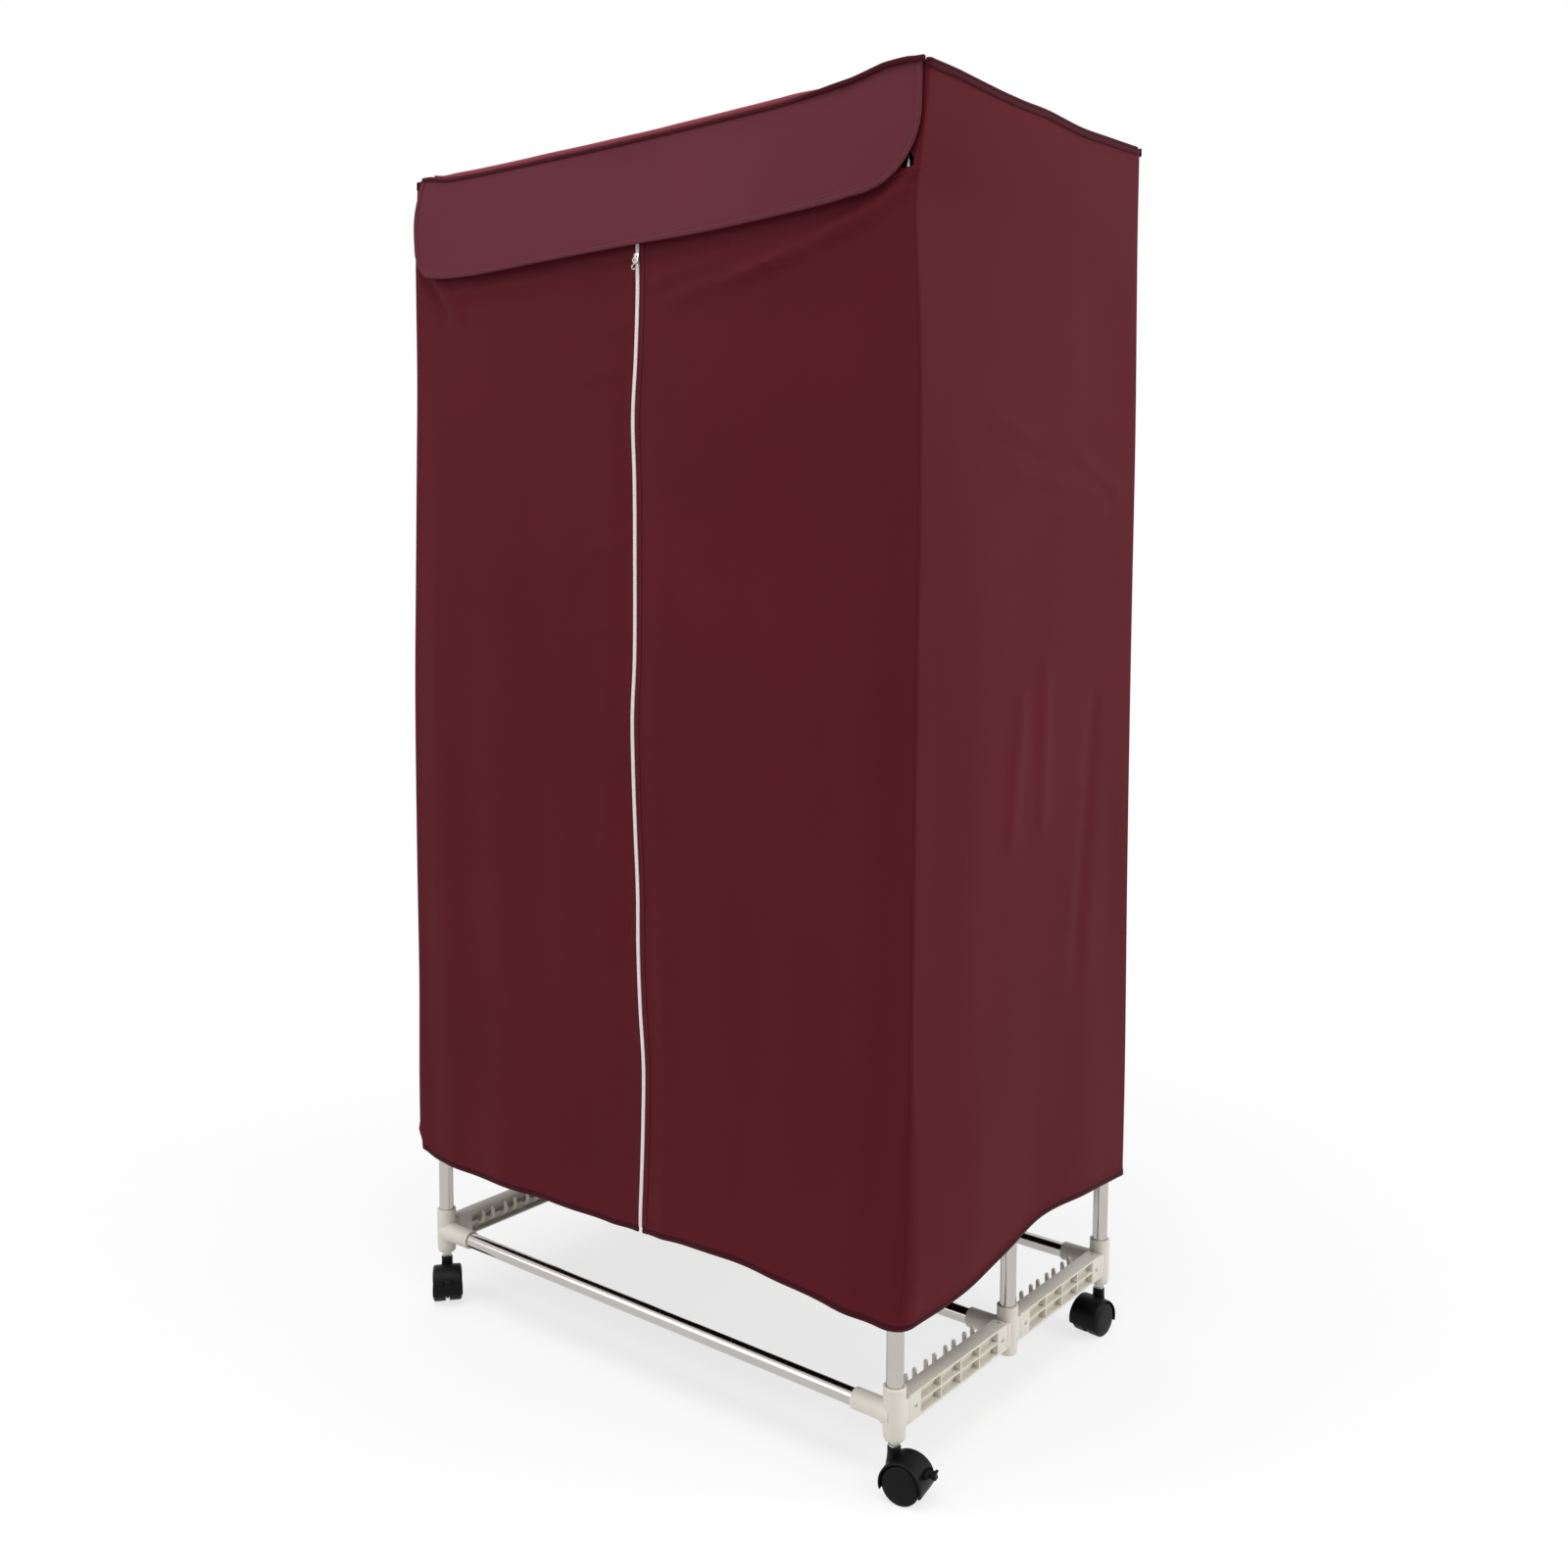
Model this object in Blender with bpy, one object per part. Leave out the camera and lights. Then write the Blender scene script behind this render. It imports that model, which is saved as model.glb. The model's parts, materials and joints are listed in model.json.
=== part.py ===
"""Portable clothes dryer: a steel tube frame on castors, held by moulded connectors and rack arms,
under a zipped cloth cover, with a fan heater on its base rails.

Metres, +Z up. The zipped front faces -Y, the floor is at zero height."""

import math

import bmesh
import bpy
from mathutils import Matrix, Vector

# Frame: six posts, joined by cross rails and by rack arms along each side
POST_WIDTH = 0.845
POST_DEPTH = 0.548
TUBE_RADIUS = 0.011
TUBE_WALL = 0.0008
SEAT_GAP = 0.0003
OVERRUN = 0.002
BASE_AXIS_HEIGHT = 0.104
COVER_TOP_HEIGHT = 1.708

# Connector: an upright sleeve, a socket for the cross rail and a boss for each rack arm
SLEEVE_RADIUS = 0.0145
SLEEVE_LENGTH = 0.068
SLEEVE_BELOW_AXIS = 0.032
SLEEVE_TAPER_LENGTH = 0.010
SLEEVE_TAPER = 0.0032
POST_SEAT_DEPTH = 0.050
SOCKET_RADIUS = 0.0138
SOCKET_REACH = 0.059
SOCKET_FLOOR = 0.018
BOSS_REACH = 0.0168
TONGUE_LENGTH = 0.010
TONGUE_WIDTH = 0.009
TONGUE_HEIGHT = 0.018

# Rack arm: a ribbed bar with pairs of curled prongs on its inner side
ARM_WIDTH = 0.022
ARM_HEIGHT = 0.034
ARM_TAB_LENGTH = 0.026
ARM_SKIN = 0.0028
ARM_RIB = 0.0026
ARM_CELLS = 4
PRONG_THICKNESS = 0.0040
PRONG_WIDTH = 0.0052
PRONG_CURL_RADIUS = 0.0104
PRONG_TIP = 0.0112
PRONG_PAIR_SPACING = 0.020

# Castor: a hooded twin wheel on a swivelling stem
WHEEL_RADIUS = 0.025
WHEEL_WIDTH = 0.0196
WHEEL_DISH = 0.0020
WHEEL_RIM = 0.004
AXLE_RADIUS = 0.003
CASTOR_TRAIL = 0.0165
WEB_THICKNESS = 0.005
WEB_RADIUS = 0.010
HOOD_GAP = 0.0012
HOOD_THICKNESS = 0.0024
HOOD_WIDTH = 0.0460
HOOD_START_ANGLE = math.radians(-14)
HOOD_END_ANGLE = math.radians(196)
NECK_RADIUS = 0.0085
NECK_TOP_HEIGHT = 0.0635
FERRULE_RADIUS = 0.0075
STEM_RADIUS = 0.0055
STEM_LENGTH = 0.018
LEVER_WIDTH = 0.012
LEVER_THICKNESS = 0.005
LEVER_REACH = 0.012
LEVER_EAR = 0.006
LEVER_ANGLE = math.radians(28)
LEVER_PIVOT_RADIUS = 0.0030
LEVER_PIN_RADIUS = 0.0011
LEVER_LUG_WIDTH = 0.0030

# Cloth cover: sewn panels, two zipped front leaves and a flap over their top edges
CLOTH_OFFSET = 0.018
CLOTH_THICKNESS = 0.0016
SIDE_HEM_HEIGHT = 0.220
BACK_HEM_HEIGHT = 0.234
LEAF_DROP_FROM_TOP = 0.122
FLAP_DROP = 0.154
FLAP_CORNER_RADIUS = 0.068
PIPING_RADIUS = 0.0036
SEAM_RADIUS = 0.0022
SEAM_START = 0.016
TOP_SAG = 0.007
TOP_FLAT_MARGIN = 0.112
FOLD_DEPTH = 0.006
FOLD_GROWTH_SHARE = 0.9
FOLD_EDGE_SHARE = 0.12
FLAP_WAVE = 0.004
FLAP_WAVES = 3
HEM_DROOP = 0.010

# Zip: two halves on the meeting edges of the leaves, and a slider with its pull tab
ZIP_HALF_WIDTH = 0.0030
ZIP_THICKNESS = 0.0026
ZIP_MIDDLE_GAP = 0.0014
ZIP_SHORT_OF_HEM = 0.004
SLIDER_WIDTH = 0.0090
SLIDER_LENGTH = 0.0130
SLIDER_PLATE = 0.0012
SLIDER_CLEARANCE = 0.0006
SLIDER_BELOW_FLAP = 0.010
BRIDGE_WIDTH = 0.0026
BRIDGE_LENGTH = 0.0040
BRIDGE_HEIGHT = 0.0026
PULL_CHEEK = 0.0010
PULL_LENGTH = 0.020
PULL_WIDTH = 0.0070
PULL_HOLE_RADIUS = 0.0016

# Fan heater: a shell hung between the middle and rear base rails
HEATER_LENGTH = 0.260
HEATER_RAIL_CLEARANCE = 0.006
HEATER_TOP_HEIGHT = 0.168
HEATER_DEPTH = 0.092
HEATER_WALL = 0.0030
HEATER_CORNER = 0.012
HEATER_FLANGE_LENGTH = 0.180
HEATER_FLANGE_THICKNESS = 0.0030
HEATER_FLANGE_LAP = 0.012
INTAKE_RADIUS = 0.062
INTAKE_INNER_RADIUS = 0.030
INTAKE_SECTORS = 8
INTAKE_SPOKE_WIDTH = 0.006
GRILLE_SLOTS = 11
GRILLE_SLOT_WIDTH = 0.008
GRILLE_BORDER = 0.024
GRILLE_RIM_DEPTH = 0.010
MOTOR_RADIUS = 0.024
MOTOR_LENGTH = 0.030
MOTOR_SHAFT_RADIUS = 0.0030
MOTOR_SHAFT_LENGTH = 0.014
IMPELLER_RADIUS = 0.058
IMPELLER_HUB_RADIUS = 0.013
IMPELLER_DEPTH = 0.012
IMPELLER_BLADES = 7
BLADE_THICKNESS = 0.0016
BLADE_PITCH = math.radians(32)
BLADE_CHORD_SHARE = 0.8
ELEMENT_LENGTH = 0.150
ELEMENT_WIDTH = 0.110
ELEMENT_HEIGHT = 0.018
ELEMENT_FRAME = 0.006
ELEMENT_FINS = 9
ELEMENT_FIN_THICKNESS = 0.0022
ELEMENT_POST_WIDTH = 0.010
KNOB_RADIUS = 0.017
KNOB_HEIGHT = 0.014
KNOB_TAPER = 0.002
KNOB_GRIP_WIDTH = 0.005
KNOB_GRIP_HEIGHT = 0.004
KNOB_SHAFT_RADIUS = 0.003
KNOB_BOSS_RADIUS = 0.008
GLAND_RADIUS = 0.009
GLAND_LENGTH = 0.016
GLAND_BORE_RADIUS = 0.0042
GLAND_FLANGE_RADIUS = 0.013
GLAND_FLANGE_THICKNESS = 0.003
SPIGOT_RADIUS = 0.006

# How finely round shapes and cloth are divided
SHARP_ANGLE = math.radians(40)
TUBE_STEPS = 14
SLEEVE_STEPS = 14
ROUND_STEPS = 14
SMALL_STEPS = 8
WHEEL_STEPS = 20
HOOD_STEPS = 10
PRONG_STEPS = 2
SEAM_STEPS = 6
PIPING_STEPS = 12
CORNER_STEPS = 3
INTAKE_STEPS = 3
LEAF_CELLS = (16, 5)
SIDE_CELLS = (14, 5)
BACK_CELLS = (22, 4)
TOP_CELLS = (8, 6)
FLAP_CELLS = (30, 2)

# Castor turns, measured from +X: front left, front right, rear left, rear right
CASTOR_TURNS = {
    ("front", "left"): math.radians(-39),
    ("front", "right"): math.radians(10),
    ("rear", "left"): math.radians(160),
    ("rear", "right"): math.radians(-95),
}

SIDES = {"left": -1, "right": 1}
ROWS = {"front": -1, "mid": 0, "rear": 1}

# Places that follow from the sizes above
POST_X = POST_WIDTH / 2
ROW_Y = POST_DEPTH / 2
CLOTH_X = POST_X + CLOTH_OFFSET
CLOTH_Y = ROW_Y + CLOTH_OFFSET
CLOTH_HALF = CLOTH_THICKNESS / 2
BASE_SLEEVE_BOTTOM = BASE_AXIS_HEIGHT - SLEEVE_BELOW_AXIS
BASE_SLEEVE_TOP = BASE_SLEEVE_BOTTOM + SLEEVE_LENGTH
TOP_SLEEVE_TOP = COVER_TOP_HEIGHT - CLOTH_HALF - SEAT_GAP
TOP_SLEEVE_BOTTOM = TOP_SLEEVE_TOP - SLEEVE_LENGTH
TOP_AXIS_HEIGHT = TOP_SLEEVE_TOP - SLEEVE_BELOW_AXIS
POST_BOTTOM = BASE_SLEEVE_TOP - POST_SEAT_DEPTH
POST_TOP = TOP_SLEEVE_BOTTOM + POST_SEAT_DEPTH
RAIL_TOP_HEIGHT = BASE_AXIS_HEIGHT + TUBE_RADIUS
HEATER_Y = ROW_Y / 2
HEATER_HALF_X = HEATER_LENGTH / 2
HEATER_HALF_Y = ROW_Y / 2 - TUBE_RADIUS - HEATER_RAIL_CLEARANCE
HEATER_INNER_X = HEATER_HALF_X - HEATER_WALL
HEATER_INNER_Y = HEATER_HALF_Y - HEATER_WALL
HEATER_BOTTOM = HEATER_TOP_HEIGHT - HEATER_DEPTH
HEATER_FLOOR = HEATER_BOTTOM + HEATER_WALL
HEATER_LID_BOTTOM = HEATER_TOP_HEIGHT + SEAT_GAP
MOTOR_TOP_HEIGHT = HEATER_FLOOR + SEAT_GAP + MOTOR_LENGTH
KNOB_AXIS_HEIGHT = (RAIL_TOP_HEIGHT + HEATER_TOP_HEIGHT) / 2 - KNOB_BOSS_RADIUS / 2
STEM_DEPTH = STEM_LENGTH - (BASE_SLEEVE_BOTTOM - NECK_TOP_HEIGHT)
SLIDER_FACE = ZIP_THICKNESS / 2 + SLIDER_CLEARANCE
SLIDER_RIM = SLIDER_FACE + SLIDER_PLATE
FLAP_Y = -CLOTH_Y - CLOTH_HALF - SLIDER_FACE
FLAP_HINGE_HEIGHT = COVER_TOP_HEIGHT + PIPING_RADIUS - CLOTH_HALF / 2


def clear_scene():
    for thing in list(bpy.data.objects):
        bpy.data.objects.remove(thing, do_unlink=True)


def material(name, colour, roughness, metallic=0):
    """A plain finish. The colour is given as three linear values."""
    made = bpy.data.materials.new(name)
    made.use_nodes = True
    shader = made.node_tree.nodes["Principled BSDF"]
    shader.inputs["Base Color"].default_value = (*colour, 1)
    shader.inputs["Roughness"].default_value = roughness
    shader.inputs["Metallic"].default_value = metallic
    made.diffuse_color = (*colour, 1)
    return made


def mesh_object(name, shape, finish=None):
    """Turns a bmesh into an object, with its faces pointing out and its round faces shaded smooth."""
    bmesh.ops.recalc_face_normals(shape, faces=shape.faces)
    mesh = bpy.data.meshes.new(name)
    shape.to_mesh(mesh)
    shape.free()
    if finish:
        mesh.materials.append(finish)
    made = bpy.data.objects.new(name, mesh)
    bpy.context.scene.collection.objects.link(made)
    mesh.shade_smooth()
    mesh.set_sharp_from_angle(angle=SHARP_ANGLE)
    return made


def block(corner, opposite):
    """A box between two opposite corners."""
    shape = bmesh.new()
    bmesh.ops.create_cube(shape, size=1)
    low = Vector(map(min, corner, opposite))
    high = Vector(map(max, corner, opposite))
    for vertex in shape.verts:
        vertex.co = low + (high - low) * (vertex.co + Vector((0.5, 0.5, 0.5)))
    return shape


def turned(profile, steps, place=None):
    """Turns a list of (radius, height) round +Z. A radius of zero is a pole; without poles it closes."""
    shape = bmesh.new()
    rings = []
    for radius, height in profile:
        count = steps if radius > 0 else 1
        ring = [
            shape.verts.new(
                (
                    radius * math.cos(math.tau * (k + 0.5) / steps),
                    radius * math.sin(math.tau * (k + 0.5) / steps),
                    height,
                )
            )
            for k in range(count)
        ]
        rings.append(ring)
    closed = len(rings[0]) > 1 and len(rings[-1]) > 1
    pairs = list(zip(rings, rings[1:] + rings[:1] if closed else rings[1:]))
    for lower, upper in pairs:
        for k in range(steps):
            after = (k + 1) % steps
            if len(lower) == 1:
                shape.faces.new((lower[0], upper[k], upper[after]))
            elif len(upper) == 1:
                shape.faces.new((lower[k], lower[after], upper[0]))
            else:
                shape.faces.new((lower[k], lower[after], upper[after], upper[k]))
    if place:
        shape.transform(place)
    return shape


def rod(radius, start, end, steps=ROUND_STEPS):
    """A solid round bar between two points."""
    start, end = Vector(start), Vector(end)
    length = (end - start).length
    turn = Vector((0, 0, 1)).rotation_difference(end - start).to_matrix().to_4x4()
    return turned(
        [(0, 0), (radius, 0), (radius, length), (0, length)], steps, Matrix.Translation(start) @ turn
    )


def extruded(outline, low, high, axis="Y"):
    """Pushes a closed outline of (x, z) points along Y, or one of (x, y) points along Z."""
    shape = bmesh.new()
    rings = []
    for depth in (low, high):
        if axis == "Y":
            rings.append([shape.verts.new((x, depth, z)) for x, z in outline])
        else:
            rings.append([shape.verts.new((x, y, depth)) for x, y in outline])
    shape.faces.new(rings[0])
    shape.faces.new(reversed(rings[1]))
    for k in range(len(outline)):
        after = (k + 1) % len(outline)
        shape.faces.new((rings[0][k], rings[0][after], rings[1][after], rings[1][k]))
    return shape


def combined(name, finish, solid, added=(), cut=()):
    """Joins the added shapes to the solid, then cuts the others from it, and keeps one mesh."""
    body = mesh_object(name + "_blank", solid, finish)
    helpers = []
    for operation, shapes in (("UNION", added), ("DIFFERENCE", cut)):
        for shape in shapes:
            helper = mesh_object(name + "_tool", shape)
            helpers.append(helper)
            change = body.modifiers.new(operation.lower(), "BOOLEAN")
            change.operation = operation
            change.object = helper
    graph = bpy.context.evaluated_depsgraph_get()
    mesh = bpy.data.meshes.new_from_object(body.evaluated_get(graph))
    mesh.name = name
    mesh.shade_smooth()
    mesh.set_sharp_from_angle(angle=SHARP_ANGLE)
    for helper in helpers + [body]:
        bpy.data.objects.remove(helper, do_unlink=True)
    made = bpy.data.objects.new(name, mesh)
    bpy.context.scene.collection.objects.link(made)
    return made


def place(thing, at, parent=None):
    """Puts an object at a point in its parent's frame."""
    thing.parent = parent
    thing.location = at
    return thing


# Tubes and connectors


def tube(name, length, finish, lying=False):
    """An open steel tube from the origin along +Z, or along +X when it lies."""
    inner = TUBE_RADIUS - TUBE_WALL
    turn = Matrix.Rotation(math.pi / 2, 4, "Y") if lying else None
    profile = [(TUBE_RADIUS, 0), (TUBE_RADIUS, length), (inner, length), (inner, 0)]
    return mesh_object(name, turned(profile, TUBE_STEPS, turn), finish)


def sleeve_profile():
    """The upright sleeve: a rounded foot, then straight to the mouth at the top."""
    return [
        (0, 0),
        (SLEEVE_RADIUS - SLEEVE_TAPER, 0),
        (SLEEVE_RADIUS, SLEEVE_TAPER_LENGTH),
        (SLEEVE_RADIUS, SLEEVE_LENGTH),
        (0, SLEEVE_LENGTH),
    ]


def connector(name, finish, inward, arm_sides, stem_hole, upside_down=False):
    """One moulded connector. Its sleeve stands on the origin, its socket points inward along X.

    Turned upside down, it caps the top of a post, which its sleeve then hangs from."""
    axis_height = SLEEVE_BELOW_AXIS
    bore = TUBE_RADIUS + SEAT_GAP
    socket = turned(
        [
            (0, 0),
            (SOCKET_RADIUS, 0),
            (SOCKET_RADIUS, SOCKET_REACH),
            (0, SOCKET_REACH),
        ],
        SLEEVE_STEPS,
        Matrix.Translation((0, 0, axis_height)) @ Matrix.Rotation(inward * math.pi / 2, 4, "Y"),
    )
    added = [socket]
    for side in arm_sides:
        for width, height, reach in (
            (ARM_WIDTH, ARM_HEIGHT, BOSS_REACH),
            (TONGUE_WIDTH, TONGUE_HEIGHT, BOSS_REACH + TONGUE_LENGTH),
        ):
            added.append(
                block(
                    (-width / 2, 0, axis_height - height / 2),
                    (width / 2, side * reach, axis_height + height / 2),
                )
            )
    seat = SLEEVE_LENGTH - POST_SEAT_DEPTH - SEAT_GAP
    cut = [
        rod(bore, (0, 0, seat), (0, 0, SLEEVE_LENGTH + OVERRUN), SLEEVE_STEPS),
        rod(
            bore,
            (inward * (SOCKET_FLOOR - SEAT_GAP), 0, axis_height),
            (inward * (SOCKET_REACH + OVERRUN), 0, axis_height),
            SLEEVE_STEPS,
        ),
    ]
    if stem_hole:
        stem_top = (0, 0, STEM_DEPTH + SEAT_GAP)
        cut.append(rod(STEM_RADIUS + SEAT_GAP, (0, 0, -OVERRUN), stem_top, SLEEVE_STEPS))
    made = combined(name, finish, turned(sleeve_profile(), SLEEVE_STEPS), added, cut)
    if upside_down:
        made.data.transform(Matrix.Scale(-1, 4, (0, 0, 1)))
        made.data.flip_normals()
    return made


# Rack arms


def prong(inner_side, at):
    """A curled prong that leaves the bar's middle rib, bends up and ends in a short straight tip."""
    root = ARM_WIDTH / 2 - ARM_SKIN
    face = ARM_WIDTH / 2
    centre = (face, PRONG_CURL_RADIUS - PRONG_WIDTH / 2)
    near = PRONG_CURL_RADIUS - PRONG_WIDTH / 2
    far = PRONG_CURL_RADIUS + PRONG_WIDTH / 2
    angles = [-math.pi / 2 * (1 - k / PRONG_STEPS) for k in range(PRONG_STEPS + 1)]
    outer = [(centre[0] + far * math.cos(a), centre[1] + far * math.sin(a)) for a in angles]
    inner = [(centre[0] + near * math.cos(a), centre[1] + near * math.sin(a)) for a in angles]
    tip = [
        (centre[0] + far, centre[1] + PRONG_TIP - PRONG_WIDTH / 3),
        (centre[0] + near + PRONG_WIDTH / 3, centre[1] + PRONG_TIP),
        (centre[0] + near, centre[1] + PRONG_TIP - PRONG_WIDTH / 3),
    ]
    start = [(root - ARM_SKIN, inner[0][1]), (root - ARM_SKIN, outer[0][1])]
    outline = [(inner_side * x, z) for x, z in start + outer + tip + inner[::-1]]
    return extruded(outline, at - PRONG_THICKNESS / 2, at + PRONG_THICKNESS / 2)


def rack_arm(name, finish, inner_side, length):
    """A bar along Y, centred on the origin. Its outer face has ribbed cells, its inner face a channel
    on each side of a middle rib that carries the prongs, and each end takes a connector's tongue."""
    corner = Vector((ARM_WIDTH / 2, length / 2, ARM_HEIGHT / 2))
    web_outer = -inner_side * ARM_SKIN / 2
    web_inner = inner_side * ARM_SKIN / 2
    outer_face = -inner_side * (ARM_WIDTH / 2 + OVERRUN)
    inner_face = inner_side * (ARM_WIDTH / 2 + OVERRUN)
    span = length - 2 * ARM_TAB_LENGTH
    cell = (span - (ARM_CELLS - 1) * ARM_RIB) / ARM_CELLS
    levels = [(-ARM_HEIGHT / 2 + ARM_SKIN, -ARM_RIB / 2), (ARM_RIB / 2, ARM_HEIGHT / 2 - ARM_SKIN)]
    starts = [-span / 2 + k * (cell + ARM_RIB) for k in range(ARM_CELLS)]
    cut = []
    for bottom, top in levels:
        cut.append(block((web_inner, -span / 2, bottom), (inner_face, span / 2, top)))
        for start in starts:
            cut.append(block((web_outer, start, bottom), (outer_face, start + cell, top)))
    pocket_x = TONGUE_WIDTH / 2 + SEAT_GAP
    pocket_z = TONGUE_HEIGHT / 2 + SEAT_GAP
    deep = length / 2 - TONGUE_LENGTH - SEAT_GAP
    for end in (-1, 1):
        mouth = end * (length / 2 + OVERRUN)
        cut.append(block((-pocket_x, end * deep, -pocket_z), (pocket_x, mouth, pocket_z)))
    added = []
    for start in starts:
        for side in (-1, 1):
            added.append(prong(inner_side, start + cell / 2 + side * PRONG_PAIR_SPACING / 2))
    bar = combined(name + "_bar", finish, block(-corner, corner), (), cut)
    solid = bmesh.new()
    solid.from_mesh(bar.data)
    bpy.data.objects.remove(bar, do_unlink=True)
    return combined(name, finish, solid, added)


# Castors


def arc_points(radius, start, end, steps, centre):
    """Points at even angles along an arc, both ends included."""
    angles = [start + (end - start) * k / steps for k in range(steps + 1)]
    return [(centre[0] + radius * math.cos(a), centre[1] + radius * math.sin(a)) for a in angles]


def lever_pivot():
    """The brake lever's pivot, in the swivel's frame: just clear of the hood as the lever turns."""
    outside = WHEEL_RADIUS / math.cos(math.pi / WHEEL_STEPS) + HOOD_GAP + HOOD_THICKNESS
    reach = outside + SEAT_GAP + math.hypot(LEVER_PIVOT_RADIUS, LEVER_THICKNESS / 2)
    away = Vector((math.cos(LEVER_ANGLE), 0, math.sin(LEVER_ANGLE)))
    return Vector((CASTOR_TRAIL, 0, WHEEL_RADIUS)) + reach * away, reach


def lever_lugs():
    """Two lugs on the hood with the lever's pin between them."""
    pivot, reach = lever_pivot()
    inner = LEVER_WIDTH / 2 + SEAT_GAP
    outer = inner + LEVER_LUG_WIDTH
    foot = reach - math.hypot(LEVER_PIVOT_RADIUS, LEVER_THICKNESS / 2) - HOOD_THICKNESS / 2 - SEAT_GAP
    turn = Matrix.Translation((CASTOR_TRAIL, 0, WHEEL_RADIUS)) @ Matrix.Rotation(-LEVER_ANGLE, 4, "Y")
    shapes = []
    for side in (-1, 1):
        half = LEVER_PIVOT_RADIUS
        lug = block((foot, side * inner, -half), (reach + half, side * outer, half))
        lug.transform(turn)
        shapes.append(lug)
    middle = Vector((0, (inner + outer) / 2, 0))
    shapes.append(rod(LEVER_PIN_RADIUS, pivot - middle, pivot + middle, SMALL_STEPS))
    return shapes


def castor_swivel(name, finish, braked):
    """The hood, its middle web and the neck with its steel stem. The swivel axis is the Z axis."""
    axle = (CASTOR_TRAIL, WHEEL_RADIUS)
    inside = WHEEL_RADIUS / math.cos(math.pi / WHEEL_STEPS) + HOOD_GAP
    outside = inside + HOOD_THICKNESS
    outer = arc_points(outside, HOOD_START_ANGLE, HOOD_END_ANGLE, HOOD_STEPS, axle)
    inner = arc_points(inside, HOOD_START_ANGLE, HOOD_END_ANGLE, HOOD_STEPS, axle)
    hood = extruded(outer + inner[::-1], -HOOD_WIDTH / 2, HOOD_WIDTH / 2)
    middle = inside + HOOD_THICKNESS / 2
    lower_left = arc_points(WEB_RADIUS, math.pi, math.tau, HOOD_STEPS // 2, axle)
    upper_right = arc_points(middle, 0, math.pi, HOOD_STEPS // 2, axle)
    web = extruded(lower_left + upper_right, -WEB_THICKNESS / 2, WEB_THICKNESS / 2)
    neck = turned(
        [
            (0, axle[1]),
            (NECK_RADIUS, axle[1]),
            (NECK_RADIUS, NECK_TOP_HEIGHT),
            (FERRULE_RADIUS, NECK_TOP_HEIGHT),
            (FERRULE_RADIUS, BASE_SLEEVE_BOTTOM - SEAT_GAP),
            (STEM_RADIUS, BASE_SLEEVE_BOTTOM - SEAT_GAP),
            (STEM_RADIUS, NECK_TOP_HEIGHT + STEM_LENGTH),
            (0, NECK_TOP_HEIGHT + STEM_LENGTH),
        ],
        ROUND_STEPS,
    )
    ends = [(axle[0], side * HOOD_WIDTH, axle[1]) for side in (-1, 1)]
    saddle = combined(name + "_neck", finish, neck, (), [rod(middle, *ends, WHEEL_STEPS)])
    neck = bmesh.new()
    neck.from_mesh(saddle.data)
    bpy.data.objects.remove(saddle, do_unlink=True)
    added = [web, neck] + (lever_lugs() if braked else [])
    return combined(name, finish, hood, added, [rod(AXLE_RADIUS + SEAT_GAP, *ends)])


def wheelset(name, finish):
    """Two dished wheels on one axle along Y, with a flat of the tread at the bottom."""
    near = WEB_THICKNESS / 2 + SEAT_GAP
    far = near + WHEEL_WIDTH
    rim = WHEEL_RADIUS / math.cos(math.pi / WHEEL_STEPS)
    wheel = [(AXLE_RADIUS, near), (rim, near), (rim, far - WHEEL_DISH), (rim - WHEEL_RIM, far)]
    profile = [(0, WHEEL_DISH - far)]
    profile += [(r, -h) for r, h in wheel[::-1]]
    profile += wheel
    profile += [(0, far - WHEEL_DISH)]
    turn = Matrix.Rotation(math.pi / 2, 4, "X") @ Matrix.Rotation(math.pi / 2, 4, "Z")
    return mesh_object(name, turned(profile, WHEEL_STEPS, turn), finish)


def brake_lever(name, finish):
    """A rocker at the back of the hood, on its pivot along Y: a tread with an upturned ear."""
    half = LEVER_THICKNESS / 2
    outline = [
        (-LEVER_PIVOT_RADIUS, -half),
        (LEVER_REACH - half, -half),
        (LEVER_REACH, 0),
        (LEVER_REACH, LEVER_EAR),
        (LEVER_REACH - half, LEVER_EAR),
        (LEVER_REACH - LEVER_THICKNESS, half),
        (-LEVER_PIVOT_RADIUS, half),
    ]
    lever = extruded(outline, -LEVER_WIDTH / 2, LEVER_WIDTH / 2)
    reach = LEVER_WIDTH / 2 + OVERRUN
    bore = rod(LEVER_PIN_RADIUS + SEAT_GAP, (0, -reach, 0), (0, reach, 0), SMALL_STEPS)
    return combined(name, finish, lever, (), [bore])


def build_castors(root, finishes):
    axle = Vector((CASTOR_TRAIL, 0, WHEEL_RADIUS))
    for (row, side), turn in CASTOR_TURNS.items():
        where = f"{row}_{side}"
        braked = row == "front"
        swivel = castor_swivel(f"castor_swivel_{where}", finishes["castor"], braked)
        place(swivel, (SIDES[side] * POST_X, ROWS[row] * ROW_Y, 0), root)
        swivel.rotation_euler.z = turn
        place(wheelset(f"castor_wheels_{where}", finishes["wheel"]), axle, swivel)
        if braked:
            lever = brake_lever(f"castor_brake_{side}", finishes["castor"])
            place(lever, lever_pivot()[0], swivel)


# Cloth cover


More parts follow.
